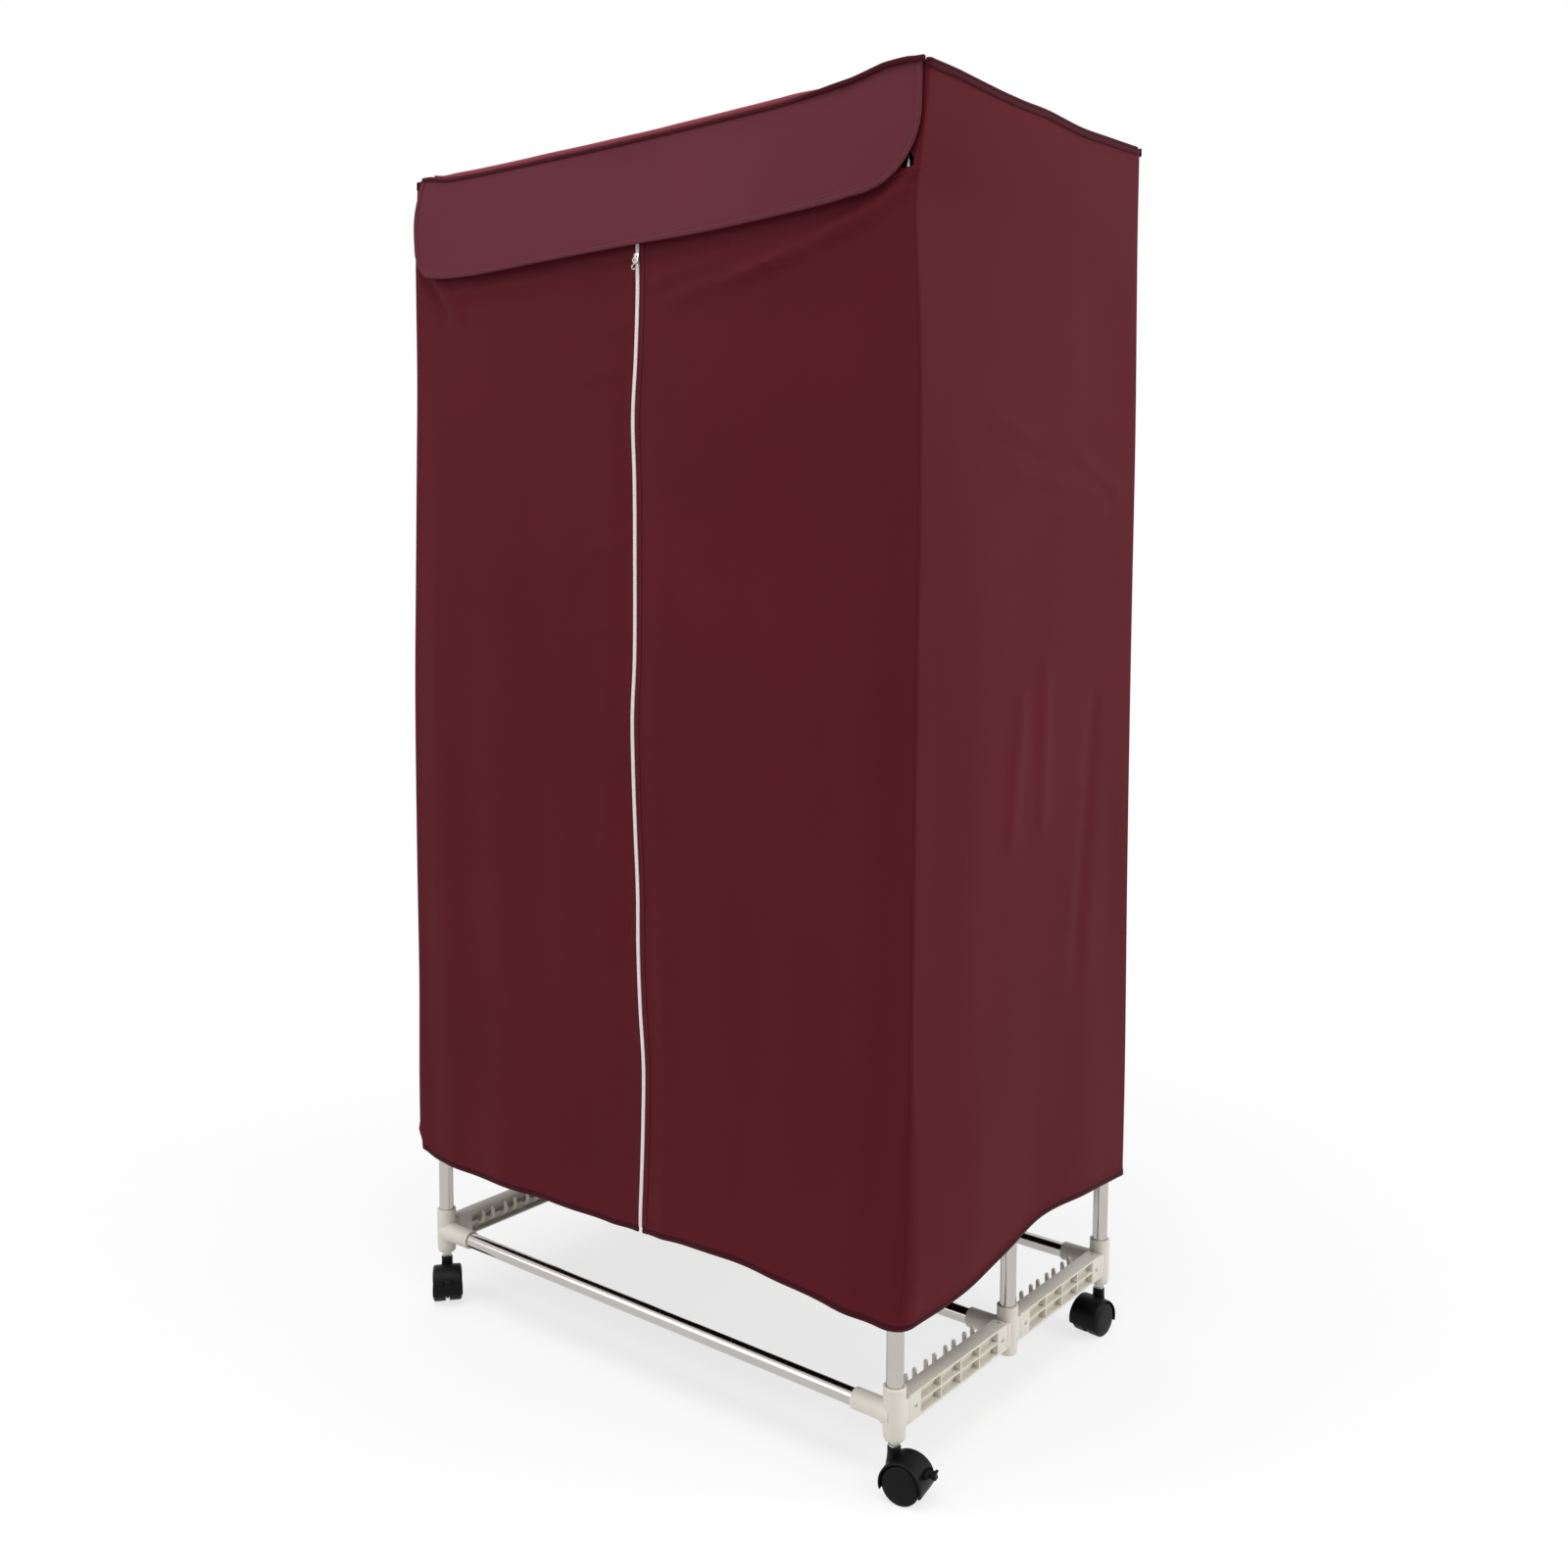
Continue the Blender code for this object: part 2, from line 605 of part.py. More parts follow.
def cloth_sheet(name, finish, columns, rows, point, outward):
    """A cloth panel of even thickness. The function point(across, up) gives its middle surface."""
    shape = bmesh.new()
    outward = Vector(outward)
    faces = []
    for side in (1, -1):
        grid = [
            [
                shape.verts.new(Vector(point(i / columns, j / rows)) + side * CLOTH_HALF * outward)
                for i in range(columns + 1)
            ]
            for j in range(rows + 1)
        ]
        for j in range(rows):
            for i in range(columns):
                shape.faces.new((grid[j][i], grid[j][i + 1], grid[j + 1][i + 1], grid[j + 1][i]))
        rim = grid[0][:-1] + [row[-1] for row in grid[:-1]]
        rim += grid[-1][:0:-1] + [row[0] for row in grid[:0:-1]]
        faces.append(rim)
    for k in range(len(faces[0])):
        after = (k + 1) % len(faces[0])
        shape.faces.new((faces[0][k], faces[0][after], faces[1][after], faces[1][k]))
    return mesh_object(name, shape, finish)


def ridge(share, centre_share, width_share):
    """A smooth bump of height one along a share of a length."""
    return math.exp(-(((share - centre_share) / width_share) ** 2))


def smooth_step(share):
    share = min(1, max(0, share))
    return share * share * (3 - 2 * share)


# Folds of the front leaves: place along the width, width, and depth, each as a share
LEAF_FOLD_SHARES = {
    "left": [(0.30, 0.09, 0.7), (0.62, 0.12, 1.0), (0.86, 0.06, 0.5)],
    "right": [(0.22, 0.10, 0.9), (0.52, 0.08, 0.6), (0.80, 0.10, 1.0)],
}
# Height of each leaf's hem at even steps from the corner to the zip, as shares of the hem droop
LEAF_HEM_SHARES = {"left": [0.2, 0.5, 0.6, 0.6, 0.7], "right": [-1.0, -0.1, 0.9, 1.5, 0.8]}
SIDE_HEM_SHARES = [-0.4, 0.1, 1.5, 3.4, 2.7, 1.6]
SIDE_FOLD_SHARES = [(0.18, 0.08, 0.8), (0.45, 0.12, -0.6), (0.76, 0.10, 0.7)]
BACK_FOLD_SHARES = [(0.15, 0.07, 0.6), (0.38, 0.09, 0.9), (0.60, 0.10, 0.7), (0.84, 0.07, 0.9)]


def along(shares, place_share):
    """Reads a list of values at even steps, with smooth stretches between them."""
    last = len(shares) - 1
    index = min(int(place_share * last), last - 1)
    blend = smooth_step(place_share * last - index)
    return shares[index] * (1 - blend) + shares[index + 1] * blend


def fold_depth(folds, across, up):
    """Folds grow from nothing at the top edge to their full depth at the hem, and end at the seams."""
    growth = smooth_step((1 - up) / FOLD_GROWTH_SHARE)
    edges = smooth_step(across / FOLD_EDGE_SHARE) * smooth_step((1 - across) / FOLD_EDGE_SHARE)
    shape = sum(depth * ridge(across, at, wide) for at, wide, depth in folds)
    return FOLD_DEPTH * growth * edges * shape


def front_leaf(side, finish):
    """A leaf from the corner seam, at across 0, to its half of the zip, at across 1."""
    sign = SIDES[side]
    corner = CLOTH_X + CLOTH_HALF
    meeting = ZIP_MIDDLE_GAP / 2 + ZIP_HALF_WIDTH + SEAT_GAP
    top = COVER_TOP_HEIGHT - LEAF_DROP_FROM_TOP

    def point(across, up):
        hem = SIDE_HEM_HEIGHT + HEM_DROOP * along(LEAF_HEM_SHARES[side], across)
        depth = fold_depth(LEAF_FOLD_SHARES[side], across, up)
        return (sign * (corner + (meeting - corner) * across), -depth, hem + (top - hem) * up)

    made = cloth_sheet(f"front_leaf_{side}", finish, *LEAF_CELLS, point, (0, -1, 0))
    made.data.transform(Matrix.Translation((-sign * corner, 0, 0)))
    return made, Vector((sign * corner, -CLOTH_Y, 0))


def side_panel(side, finish):
    sign = SIDES[side]
    front = -CLOTH_Y + CLOTH_HALF + SEAT_GAP
    rear = CLOTH_Y + CLOTH_HALF
    top = COVER_TOP_HEIGHT - CLOTH_HALF - SEAT_GAP

    def point(across, up):
        hem = SIDE_HEM_HEIGHT + HEM_DROOP * along(SIDE_HEM_SHARES, across)
        depth = fold_depth(SIDE_FOLD_SHARES, across, up)
        return (sign * (CLOTH_X + depth), front + (rear - front) * across, hem + (top - hem) * up)

    return cloth_sheet(f"side_panel_{side}", finish, *SIDE_CELLS, point, (sign, 0, 0))


def back_panel(finish):
    reach = CLOTH_X - CLOTH_HALF - SEAT_GAP
    top = COVER_TOP_HEIGHT - CLOTH_HALF - SEAT_GAP

    def point(across, up):
        depth = fold_depth(BACK_FOLD_SHARES, across, up)
        height = BACK_HEM_HEIGHT + (top - BACK_HEM_HEIGHT) * up
        return (reach * (2 * across - 1), CLOTH_Y + depth, height)

    return cloth_sheet("back_panel", finish, *BACK_CELLS, point, (0, 1, 0))


def top_panel(finish):
    """The roof, sagging a little between the frame's corners, with its bound seams standing up."""
    reach_x = CLOTH_X + CLOTH_HALF
    rise = FLAP_HINGE_HEIGHT - COVER_TOP_HEIGHT - CLOTH_HALF
    front = FLAP_Y + math.sqrt((PIPING_RADIUS + SEAT_GAP) ** 2 - rise**2)
    rear = CLOTH_Y + CLOTH_HALF

    def point(across, up):
        x = reach_x * (2 * across - 1)
        y = front + (rear - front) * up
        inside = min(reach_x - abs(x), y - front, rear - y)
        low = TOP_SAG * smooth_step((inside - TOP_FLAT_MARGIN) / (ROW_Y - TOP_FLAT_MARGIN))
        return (x, y, COVER_TOP_HEIGHT - low)

    sheet = cloth_sheet("top_panel_sheet", finish, *TOP_CELLS, point, (0, 0, 1))
    solid = bmesh.new()
    solid.from_mesh(sheet.data)
    bpy.data.objects.remove(sheet, do_unlink=True)
    seam_x = reach_x - SEAM_RADIUS
    seam_y = rear - SEAM_RADIUS
    lift = COVER_TOP_HEIGHT + SEAM_RADIUS - CLOTH_HALF / 2
    start = front + SEAM_START
    far_x, far_y = reach_x - SEAT_GAP, rear - SEAT_GAP
    seams = [rod(SEAM_RADIUS, (-far_x, seam_y, lift), (far_x, seam_y, lift), SEAM_STEPS)]
    for x in (-seam_x, seam_x):
        seams.append(rod(SEAM_RADIUS, (x, start, lift), (x, far_y, lift), SEAM_STEPS))
    return combined("top_panel", finish, solid, seams)


def front_flap(finish):
    """The flap hangs from its piping, whose axis is the hinge. Its lower corners are rounded."""
    reach = CLOTH_X + CLOTH_HALF
    start = PIPING_RADIUS / 2

    def point(across, up):
        x = reach * (2 * across - 1)
        inset = max(0, FLAP_CORNER_RADIUS - (reach - abs(x)))
        drop = FLAP_DROP - FLAP_CORNER_RADIUS + math.sqrt(FLAP_CORNER_RADIUS**2 - inset**2)
        down = start + (drop - start) * (1 - up)
        wave = FLAP_WAVE * (1 - up) * (1 - math.cos(FLAP_WAVES * math.tau * across)) / 2
        return (x, -wave, -down)

    sheet = cloth_sheet("front_flap_sheet", finish, *FLAP_CELLS, point, (0, -1, 0))
    solid = bmesh.new()
    solid.from_mesh(sheet.data)
    bpy.data.objects.remove(sheet, do_unlink=True)
    piping = rod(PIPING_RADIUS, (-reach, 0, 0), (reach, 0, 0), PIPING_STEPS)
    return combined("front_flap", finish, solid, [piping])


def build_cover(root, finishes):
    cloth = finishes["cloth"]
    place(top_panel(cloth), (0, 0, 0), root)
    place(back_panel(cloth), (0, 0, 0), root)
    place(front_flap(cloth), (0, FLAP_Y, FLAP_HINGE_HEIGHT), root)
    zip_bottom = SIDE_HEM_HEIGHT + HEM_DROOP + ZIP_SHORT_OF_HEM
    zip_top = COVER_TOP_HEIGHT - LEAF_DROP_FROM_TOP
    leaves = {}
    for side, sign in SIDES.items():
        place(side_panel(side, cloth), (0, 0, 0), root)
        leaf, hinge = front_leaf(side, cloth)
        leaves[side] = place(leaf, hinge, root)
        near = sign * ZIP_MIDDLE_GAP / 2
        far = near + sign * ZIP_HALF_WIDTH
        strip = block((near, -ZIP_THICKNESS / 2, zip_bottom), (far, ZIP_THICKNESS / 2, zip_top))
        half = mesh_object(f"zip_{side}", strip, finishes["zip"])
        half.data.transform(Matrix.Translation((-hinge.x, 0, 0)))
        place(half, (0, 0, 0), leaves[side])
    slider = zip_slider(finishes["slider"])
    slider_height = COVER_TOP_HEIGHT - FLAP_DROP - SLIDER_BELOW_FLAP
    place(slider, (-leaves["left"].location.x, 0, slider_height), leaves["left"])
    bridge = -SLIDER_RIM - BRIDGE_HEIGHT / 2
    place(pull_tab(finishes["slider"]), (0, bridge, 0), slider)


def zip_slider(finish):
    """Two plates in front of and behind the teeth, a web in the gap between them, and a bridge."""
    half_width, half_length = SLIDER_WIDTH / 2, SLIDER_LENGTH / 2
    web = ZIP_MIDDLE_GAP / 2 - SEAT_GAP
    middle = SLIDER_RIM - SLIDER_PLATE / 2
    face = block((-half_width, -SLIDER_RIM, -half_length), (half_width, -SLIDER_FACE, half_length))
    added = [
        block((-half_width, SLIDER_FACE, -half_length), (half_width, SLIDER_RIM, half_length)),
        block((-web, -middle, -half_length), (web, middle, half_length)),
        block(
            (-BRIDGE_WIDTH / 2, -SLIDER_RIM - BRIDGE_HEIGHT, -BRIDGE_LENGTH / 2),
            (BRIDGE_WIDTH / 2, -middle, BRIDGE_LENGTH / 2),
        ),
    ]
    return combined("zip_slider", finish, face, added)


def pull_tab(finish):
    """A fork with round eyes beside the slider's bridge, turning about X, and a holed tab below it."""
    half_bridge = BRIDGE_WIDTH / 2 + SEAT_GAP
    outer = half_bridge + PULL_CHEEK
    thick = BRIDGE_HEIGHT / 2
    corner = math.hypot(BRIDGE_LENGTH / 2, BRIDGE_HEIGHT / 2) + SEAT_GAP
    cheeks = []
    for side in (-1, 1):
        near, far = side * half_bridge, side * outer
        cheeks.append(block((near, -thick, -corner - PULL_CHEEK), (far, 0, 0)))
        cheeks.append(rod(thick - SEAT_GAP, (near, 0, 0), (far, 0, 0), SMALL_STEPS))
    tab = block((-PULL_WIDTH / 2, -thick, -PULL_LENGTH), (PULL_WIDTH / 2, 0, -corner))
    hole_z = -PULL_LENGTH + PULL_WIDTH / 2
    hole = rod(PULL_HOLE_RADIUS, (0, -thick - OVERRUN, hole_z), (0, OVERRUN, hole_z), SMALL_STEPS)
    return combined("zip_pull", finish, tab, cheeks, [hole])


# Fan heater


def corner_rounded(shape, radius):
    """Rounds the four upright corners of a block."""
    upright = [edge for edge in shape.edges if edge.verts[0].co.z != edge.verts[1].co.z]
    bmesh.ops.bevel(
        shape, geom=upright, offset=radius, segments=CORNER_STEPS, affect="EDGES", profile=0.5
    )
    return shape


def intake_sectors():
    """The fan's inlets in the floor: equal sectors round the motor, with spokes between them."""
    sectors = []
    for k in range(INTAKE_SECTORS):
        start = math.tau * k / INTAKE_SECTORS
        end = math.tau * (k + 1) / INTAKE_SECTORS
        edges = []
        for radius in (INTAKE_INNER_RADIUS, INTAKE_RADIUS):
            lean = math.asin(INTAKE_SPOKE_WIDTH / 2 / radius)
            edges.append(arc_points(radius, start + lean, end - lean, INTAKE_STEPS, (0, 0)))
        outline = edges[0] + edges[1][::-1]
        sectors.append(extruded(outline, HEATER_BOTTOM - OVERRUN, HEATER_FLOOR + OVERRUN, "Z"))
    return sectors


def heater_housing(finish):
    """A shell open at the top. Its two lugs lie on the middle and rear base rails."""
    outer = (HEATER_HALF_X, HEATER_HALF_Y, HEATER_TOP_HEIGHT)
    inner = (HEATER_INNER_X, HEATER_INNER_Y, HEATER_TOP_HEIGHT + OVERRUN)
    shell = corner_rounded(block((-HEATER_HALF_X, -HEATER_HALF_Y, HEATER_BOTTOM), outer), HEATER_CORNER)
    hollow = corner_rounded(
        block((-HEATER_INNER_X, -HEATER_INNER_Y, HEATER_FLOOR), inner), HEATER_CORNER - HEATER_WALL
    )
    lap = ROW_Y / 2 + HEATER_FLANGE_LAP
    lug_low = RAIL_TOP_HEIGHT + SEAT_GAP
    lugs = block(
        (-HEATER_FLANGE_LENGTH / 2, -lap, lug_low),
        (HEATER_FLANGE_LENGTH / 2, lap, lug_low + HEATER_FLANGE_THICKNESS),
    )
    holes = []
    for side, radius in ((1, KNOB_SHAFT_RADIUS), (-1, SPIGOT_RADIUS)):
        start = (side * (HEATER_INNER_X - OVERRUN), 0, KNOB_AXIS_HEIGHT)
        end = (side * (HEATER_HALF_X + OVERRUN), 0, KNOB_AXIS_HEIGHT)
        holes.append(rod(radius + SEAT_GAP, start, end))
    cut = [hollow] + intake_sectors() + holes
    return combined("heater_housing", finish, shell, [lugs], cut)


def heater_grille(finish):
    """The slotted lid, with a rim that drops inside the shell."""
    top = HEATER_LID_BOTTOM + HEATER_WALL
    rim_bottom = HEATER_LID_BOTTOM - GRILLE_RIM_DEPTH
    lid = corner_rounded(
        block((-HEATER_HALF_X, -HEATER_HALF_Y, HEATER_LID_BOTTOM), (HEATER_HALF_X, HEATER_HALF_Y, top)),
        HEATER_CORNER,
    )
    rim_x = HEATER_INNER_X - SEAT_GAP - HEATER_CORNER + HEATER_WALL
    rim_y = HEATER_INNER_Y - SEAT_GAP
    rim = block((-rim_x, -rim_y, rim_bottom), (rim_x, rim_y, top - HEATER_WALL / 2))
    rim_hollow = block(
        (-rim_x - OVERRUN, -rim_y + HEATER_WALL, rim_bottom - OVERRUN),
        (rim_x + OVERRUN, rim_y - HEATER_WALL, HEATER_LID_BOTTOM),
    )
    cut = [rim_hollow]
    span = 2 * (HEATER_HALF_X - GRILLE_BORDER)
    reach = HEATER_HALF_Y - GRILLE_BORDER
    for k in range(GRILLE_SLOTS):
        middle = span * ((k + 0.5) / GRILLE_SLOTS - 0.5)
        cut.append(
            block(
                (middle - GRILLE_SLOT_WIDTH / 2, -reach, HEATER_LID_BOTTOM - OVERRUN),
                (middle + GRILLE_SLOT_WIDTH / 2, reach, top + OVERRUN),
            )
        )
    return combined("heater_grille", finish, lid, [rim], cut)


def heater_motor(finish):
    """The fan's motor stands on the floor, with its shaft up."""
    profile = [
        (0, MOTOR_TOP_HEIGHT - MOTOR_LENGTH),
        (MOTOR_RADIUS, MOTOR_TOP_HEIGHT - MOTOR_LENGTH),
        (MOTOR_RADIUS, MOTOR_TOP_HEIGHT - MOTOR_SHAFT_RADIUS),
        (MOTOR_RADIUS - MOTOR_SHAFT_RADIUS, MOTOR_TOP_HEIGHT),
        (MOTOR_SHAFT_RADIUS, MOTOR_TOP_HEIGHT),
        (MOTOR_SHAFT_RADIUS, MOTOR_TOP_HEIGHT + MOTOR_SHAFT_LENGTH),
        (0, MOTOR_TOP_HEIGHT + MOTOR_SHAFT_LENGTH),
    ]
    return mesh_object("heater_motor", turned(profile, ROUND_STEPS), finish)


def heater_impeller(finish):
    """A hub on the motor's shaft with pitched blades, centred on the origin."""
    half = IMPELLER_DEPTH / 2
    bore = MOTOR_SHAFT_RADIUS + SEAT_GAP
    profile = [(bore, -half), (IMPELLER_HUB_RADIUS, -half), (IMPELLER_HUB_RADIUS, half), (bore, half)]
    blade_root = (IMPELLER_HUB_RADIUS + bore) / 2
    chord = BLADE_CHORD_SHARE * IMPELLER_DEPTH / math.sin(BLADE_PITCH)
    blades = []
    for k in range(IMPELLER_BLADES):
        blade = block(
            (blade_root, -chord / 2, -BLADE_THICKNESS / 2),
            (IMPELLER_RADIUS, chord / 2, BLADE_THICKNESS / 2),
        )
        blade.transform(Matrix.Rotation(BLADE_PITCH, 4, "X"))
        blade.transform(Matrix.Rotation(math.tau * k / IMPELLER_BLADES, 4, "Z"))
        blades.append(blade)
    return combined("heater_impeller", finish, turned(profile, 3 * IMPELLER_BLADES), blades)


def heater_element(finish):
    """A framed pack of fins on four feet, over the fan."""
    top = HEATER_LID_BOTTOM - GRILLE_RIM_DEPTH - SEAT_GAP
    bottom = top - ELEMENT_HEIGHT
    half_x, half_y = ELEMENT_LENGTH / 2, ELEMENT_WIDTH / 2
    frame = block((-half_x, -half_y, bottom), (half_x, half_y, top))
    inside = ELEMENT_LENGTH - 2 * ELEMENT_FRAME
    duct = (inside - (ELEMENT_FINS - 1) * ELEMENT_FIN_THICKNESS) / ELEMENT_FINS
    reach = half_y - ELEMENT_FRAME
    ducts = []
    for k in range(ELEMENT_FINS):
        start = -inside / 2 + k * (duct + ELEMENT_FIN_THICKNESS)
        ducts.append(block((start, -reach, bottom - OVERRUN), (start + duct, reach, top + OVERRUN)))
    feet = [
        block(
            (side_x * half_x, side_y * half_y, HEATER_FLOOR + SEAT_GAP),
            (side_x * (half_x - ELEMENT_FRAME), side_y * (half_y - ELEMENT_POST_WIDTH), (bottom + top) / 2),
        )
        for side_x in (-1, 1)
        for side_y in (-1, 1)
    ]
    return combined("heater_element", finish, frame, feet, ducts)


def timer_knob(finish):
    """A round knob with a raised grip bar. Its shaft points into the shell, along -X."""
    profile = [
        (0, -HEATER_WALL - KNOB_TAPER),
        (KNOB_SHAFT_RADIUS, -HEATER_WALL - KNOB_TAPER),
        (KNOB_SHAFT_RADIUS, SEAT_GAP),
        (KNOB_RADIUS, SEAT_GAP),
        (KNOB_RADIUS - KNOB_TAPER, KNOB_HEIGHT),
        (0, KNOB_HEIGHT),
    ]
    knob = turned(profile, ROUND_STEPS, Matrix.Rotation(math.pi / 2, 4, "Y"))
    reach = KNOB_RADIUS - 2 * KNOB_TAPER
    grip = block(
        (KNOB_HEIGHT - KNOB_TAPER, -KNOB_GRIP_WIDTH / 2, -reach),
        (KNOB_HEIGHT + KNOB_GRIP_HEIGHT, KNOB_GRIP_WIDTH / 2, reach),
    )
    return combined("heater_timer_knob", finish, knob, [grip])


def cord_gland(finish):
    """A hollow bush in the shell's wall, pointing out along -X."""
    profile = [
        (GLAND_BORE_RADIUS, -HEATER_WALL - SEAT_GAP),
        (SPIGOT_RADIUS, -HEATER_WALL - SEAT_GAP),
        (SPIGOT_RADIUS, SEAT_GAP),
        (GLAND_FLANGE_RADIUS, SEAT_GAP),
        (GLAND_FLANGE_RADIUS, GLAND_FLANGE_THICKNESS),
        (GLAND_RADIUS, GLAND_FLANGE_THICKNESS),
        (SPIGOT_RADIUS, GLAND_LENGTH),
        (GLAND_BORE_RADIUS, GLAND_LENGTH),
    ]
    gland = turned(profile, ROUND_STEPS, Matrix.Rotation(-math.pi / 2, 4, "Y"))
    return mesh_object("heater_cord_gland", gland, finish)


def build_heater(root, finishes):
    middle = Vector((0, HEATER_Y, 0))
    impeller_height = MOTOR_TOP_HEIGHT + SEAT_GAP + IMPELLER_DEPTH / 2
    place(heater_housing(finishes["plastic"]), middle, root)
    place(heater_grille(finishes["plastic"]), middle, root)
    place(heater_motor(finishes["motor"]), middle, root)
    place(heater_impeller(finishes["dark_plastic"]), (0, HEATER_Y, impeller_height), root)
    place(heater_element(finishes["element"]), middle, root)
    place(timer_knob(finishes["plastic"]), (HEATER_HALF_X, HEATER_Y, KNOB_AXIS_HEIGHT), root)
    place(cord_gland(finishes["dark_plastic"]), (-HEATER_HALF_X, HEATER_Y, KNOB_AXIS_HEIGHT), root)


def build_frame(root, finishes):
    steel, ivory = finishes["steel"], finishes["ivory"]
    arm_length = ROW_Y - 2 * (BOSS_REACH + SEAT_GAP)
    rail_start = POST_X - SOCKET_FLOOR
    for row, row_sign in ROWS.items():
        y = row_sign * ROW_Y
        for rail, height in (("base_rail", BASE_AXIS_HEIGHT), ("garment_rail", TOP_AXIS_HEIGHT)):
            bar = tube(f"{rail}_{row}", 2 * rail_start, steel, lying=True)
            place(bar, (-rail_start, y, height), root)
        for side, sign in SIDES.items():
            arms = [-1, 1] if row == "mid" else [-row_sign]
            post = tube(f"post_{row}_{side}", POST_TOP - POST_BOTTOM, steel)
            place(post, (sign * POST_X, y, POST_BOTTOM), root)
            foot = connector(f"base_connector_{row}_{side}", ivory, -sign, arms, row != "mid")
            place(foot, (sign * POST_X, y, BASE_SLEEVE_BOTTOM), root)
            cap = connector(f"top_connector_{row}_{side}", ivory, -sign, arms, False, upside_down=True)
            place(cap, (sign * POST_X, y, TOP_SLEEVE_TOP), root)
    for row in ("front", "rear"):
        for side, sign in SIDES.items():
            for tier, height in (("base", BASE_AXIS_HEIGHT), ("top", TOP_AXIS_HEIGHT)):
                arm = rack_arm(f"{tier}_arm_{row}_{side}", ivory, -sign, arm_length)
                place(arm, (sign * POST_X, ROWS[row] * ROW_Y / 2, height), root)


def centre_on_floor(root):
    """Moves the dryer so that the middle of its outer box is over the origin."""
    bpy.context.view_layer.update()
    graph = bpy.context.evaluated_depsgraph_get()
    low = Vector((math.inf, math.inf))
    high = -low
    for thing in bpy.data.objects:
        if thing.type != "MESH":
            continue
        for vertex in thing.evaluated_get(graph).data.vertices:
            at = thing.matrix_world @ vertex.co
            low = Vector((min(low.x, at.x), min(low.y, at.y)))
            high = Vector((max(high.x, at.x), max(high.y, at.y)))
    middle = (low + high) / 2
    root.location = (-middle.x, -middle.y, 0)
    bpy.context.view_layer.update()
    print(f"moved by {-middle.x:.5f}, {-middle.y:.5f}")


def main():
    clear_scene()
    finishes = {
        "steel": material("polished stainless steel tube", (0.62, 0.60, 0.58), 0.15, 1),
        "ivory": material("ivory moulded plastic", (0.76, 0.72, 0.64), 0.45),
        "castor": material("black moulded castor", (0.015, 0.015, 0.015), 0.45),
        "wheel": material("black castor wheel", (0.012, 0.012, 0.012), 0.5),
        "cloth": material("burgundy coated cloth", (0.11, 0.025, 0.035), 0.55),
        "zip": material("white nylon zip", (0.70, 0.66, 0.66), 0.5),
        "slider": material("plated zip slider", (0.60, 0.60, 0.60), 0.3, 1),
        "plastic": material("white heater plastic", (0.70, 0.69, 0.66), 0.4),
        "motor": material("bare steel motor can", (0.45, 0.45, 0.45), 0.35, 1),
        "dark_plastic": material("dark heater plastic", (0.03, 0.03, 0.03), 0.45),
        "element": material("aluminium heating fins", (0.45, 0.45, 0.46), 0.5, 1),
    }
    root = bpy.data.objects.new("dryer", None)
    bpy.context.scene.collection.objects.link(root)
    build_frame(root, finishes)
    build_castors(root, finishes)
    build_cover(root, finishes)
    build_heater(root, finishes)
    centre_on_floor(root)


main()
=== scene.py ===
# %% [markdown]
# A portable clothes dryer: a wardrobe-shaped cloth cover over a frame of polished tubes, on castors.
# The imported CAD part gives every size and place. This script dresses it: cloth, zip, smooth
# mouldings, bright tubes, and the light and camera of the picture.

# %% Load the frame
import json
import math

import bmesh
import bpy
from mathutils import Matrix, Vector, noise


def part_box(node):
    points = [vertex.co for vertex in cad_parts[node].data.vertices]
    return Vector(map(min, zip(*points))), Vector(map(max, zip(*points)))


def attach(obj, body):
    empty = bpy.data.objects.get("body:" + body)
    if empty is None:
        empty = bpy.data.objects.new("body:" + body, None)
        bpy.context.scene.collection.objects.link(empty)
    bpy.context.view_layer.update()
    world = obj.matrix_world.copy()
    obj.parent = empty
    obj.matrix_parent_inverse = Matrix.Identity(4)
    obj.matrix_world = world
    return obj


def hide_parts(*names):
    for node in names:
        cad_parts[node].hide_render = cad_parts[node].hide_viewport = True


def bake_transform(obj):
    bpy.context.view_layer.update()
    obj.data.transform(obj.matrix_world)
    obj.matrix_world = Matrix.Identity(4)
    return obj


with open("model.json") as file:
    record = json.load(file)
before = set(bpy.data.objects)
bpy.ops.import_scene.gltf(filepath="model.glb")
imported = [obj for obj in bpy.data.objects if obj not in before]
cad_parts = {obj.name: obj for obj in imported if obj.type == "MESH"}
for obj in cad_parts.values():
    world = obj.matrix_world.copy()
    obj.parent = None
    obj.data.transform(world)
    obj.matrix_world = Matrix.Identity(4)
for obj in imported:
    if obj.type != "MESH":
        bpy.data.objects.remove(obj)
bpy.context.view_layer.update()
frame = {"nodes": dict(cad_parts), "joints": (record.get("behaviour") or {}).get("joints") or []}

JOINTS = {joint["name"]: joint for joint in frame["joints"]}

# %% [markdown]
# Everything below is placed from the frame, so the places of the posts, rails and hinges are read
# once, from the nodes' boxes and from the joints.

# %% Places read from the frame
MM = 0.001
SIDES = {"left": -1, "right": 1}
ROWS = ("front", "mid", "rear")


def middle(node):
    low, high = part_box(node)
    return (low + high) / 2


def reach(node, axis):
    low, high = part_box(node)
    return low[axis], high[axis]


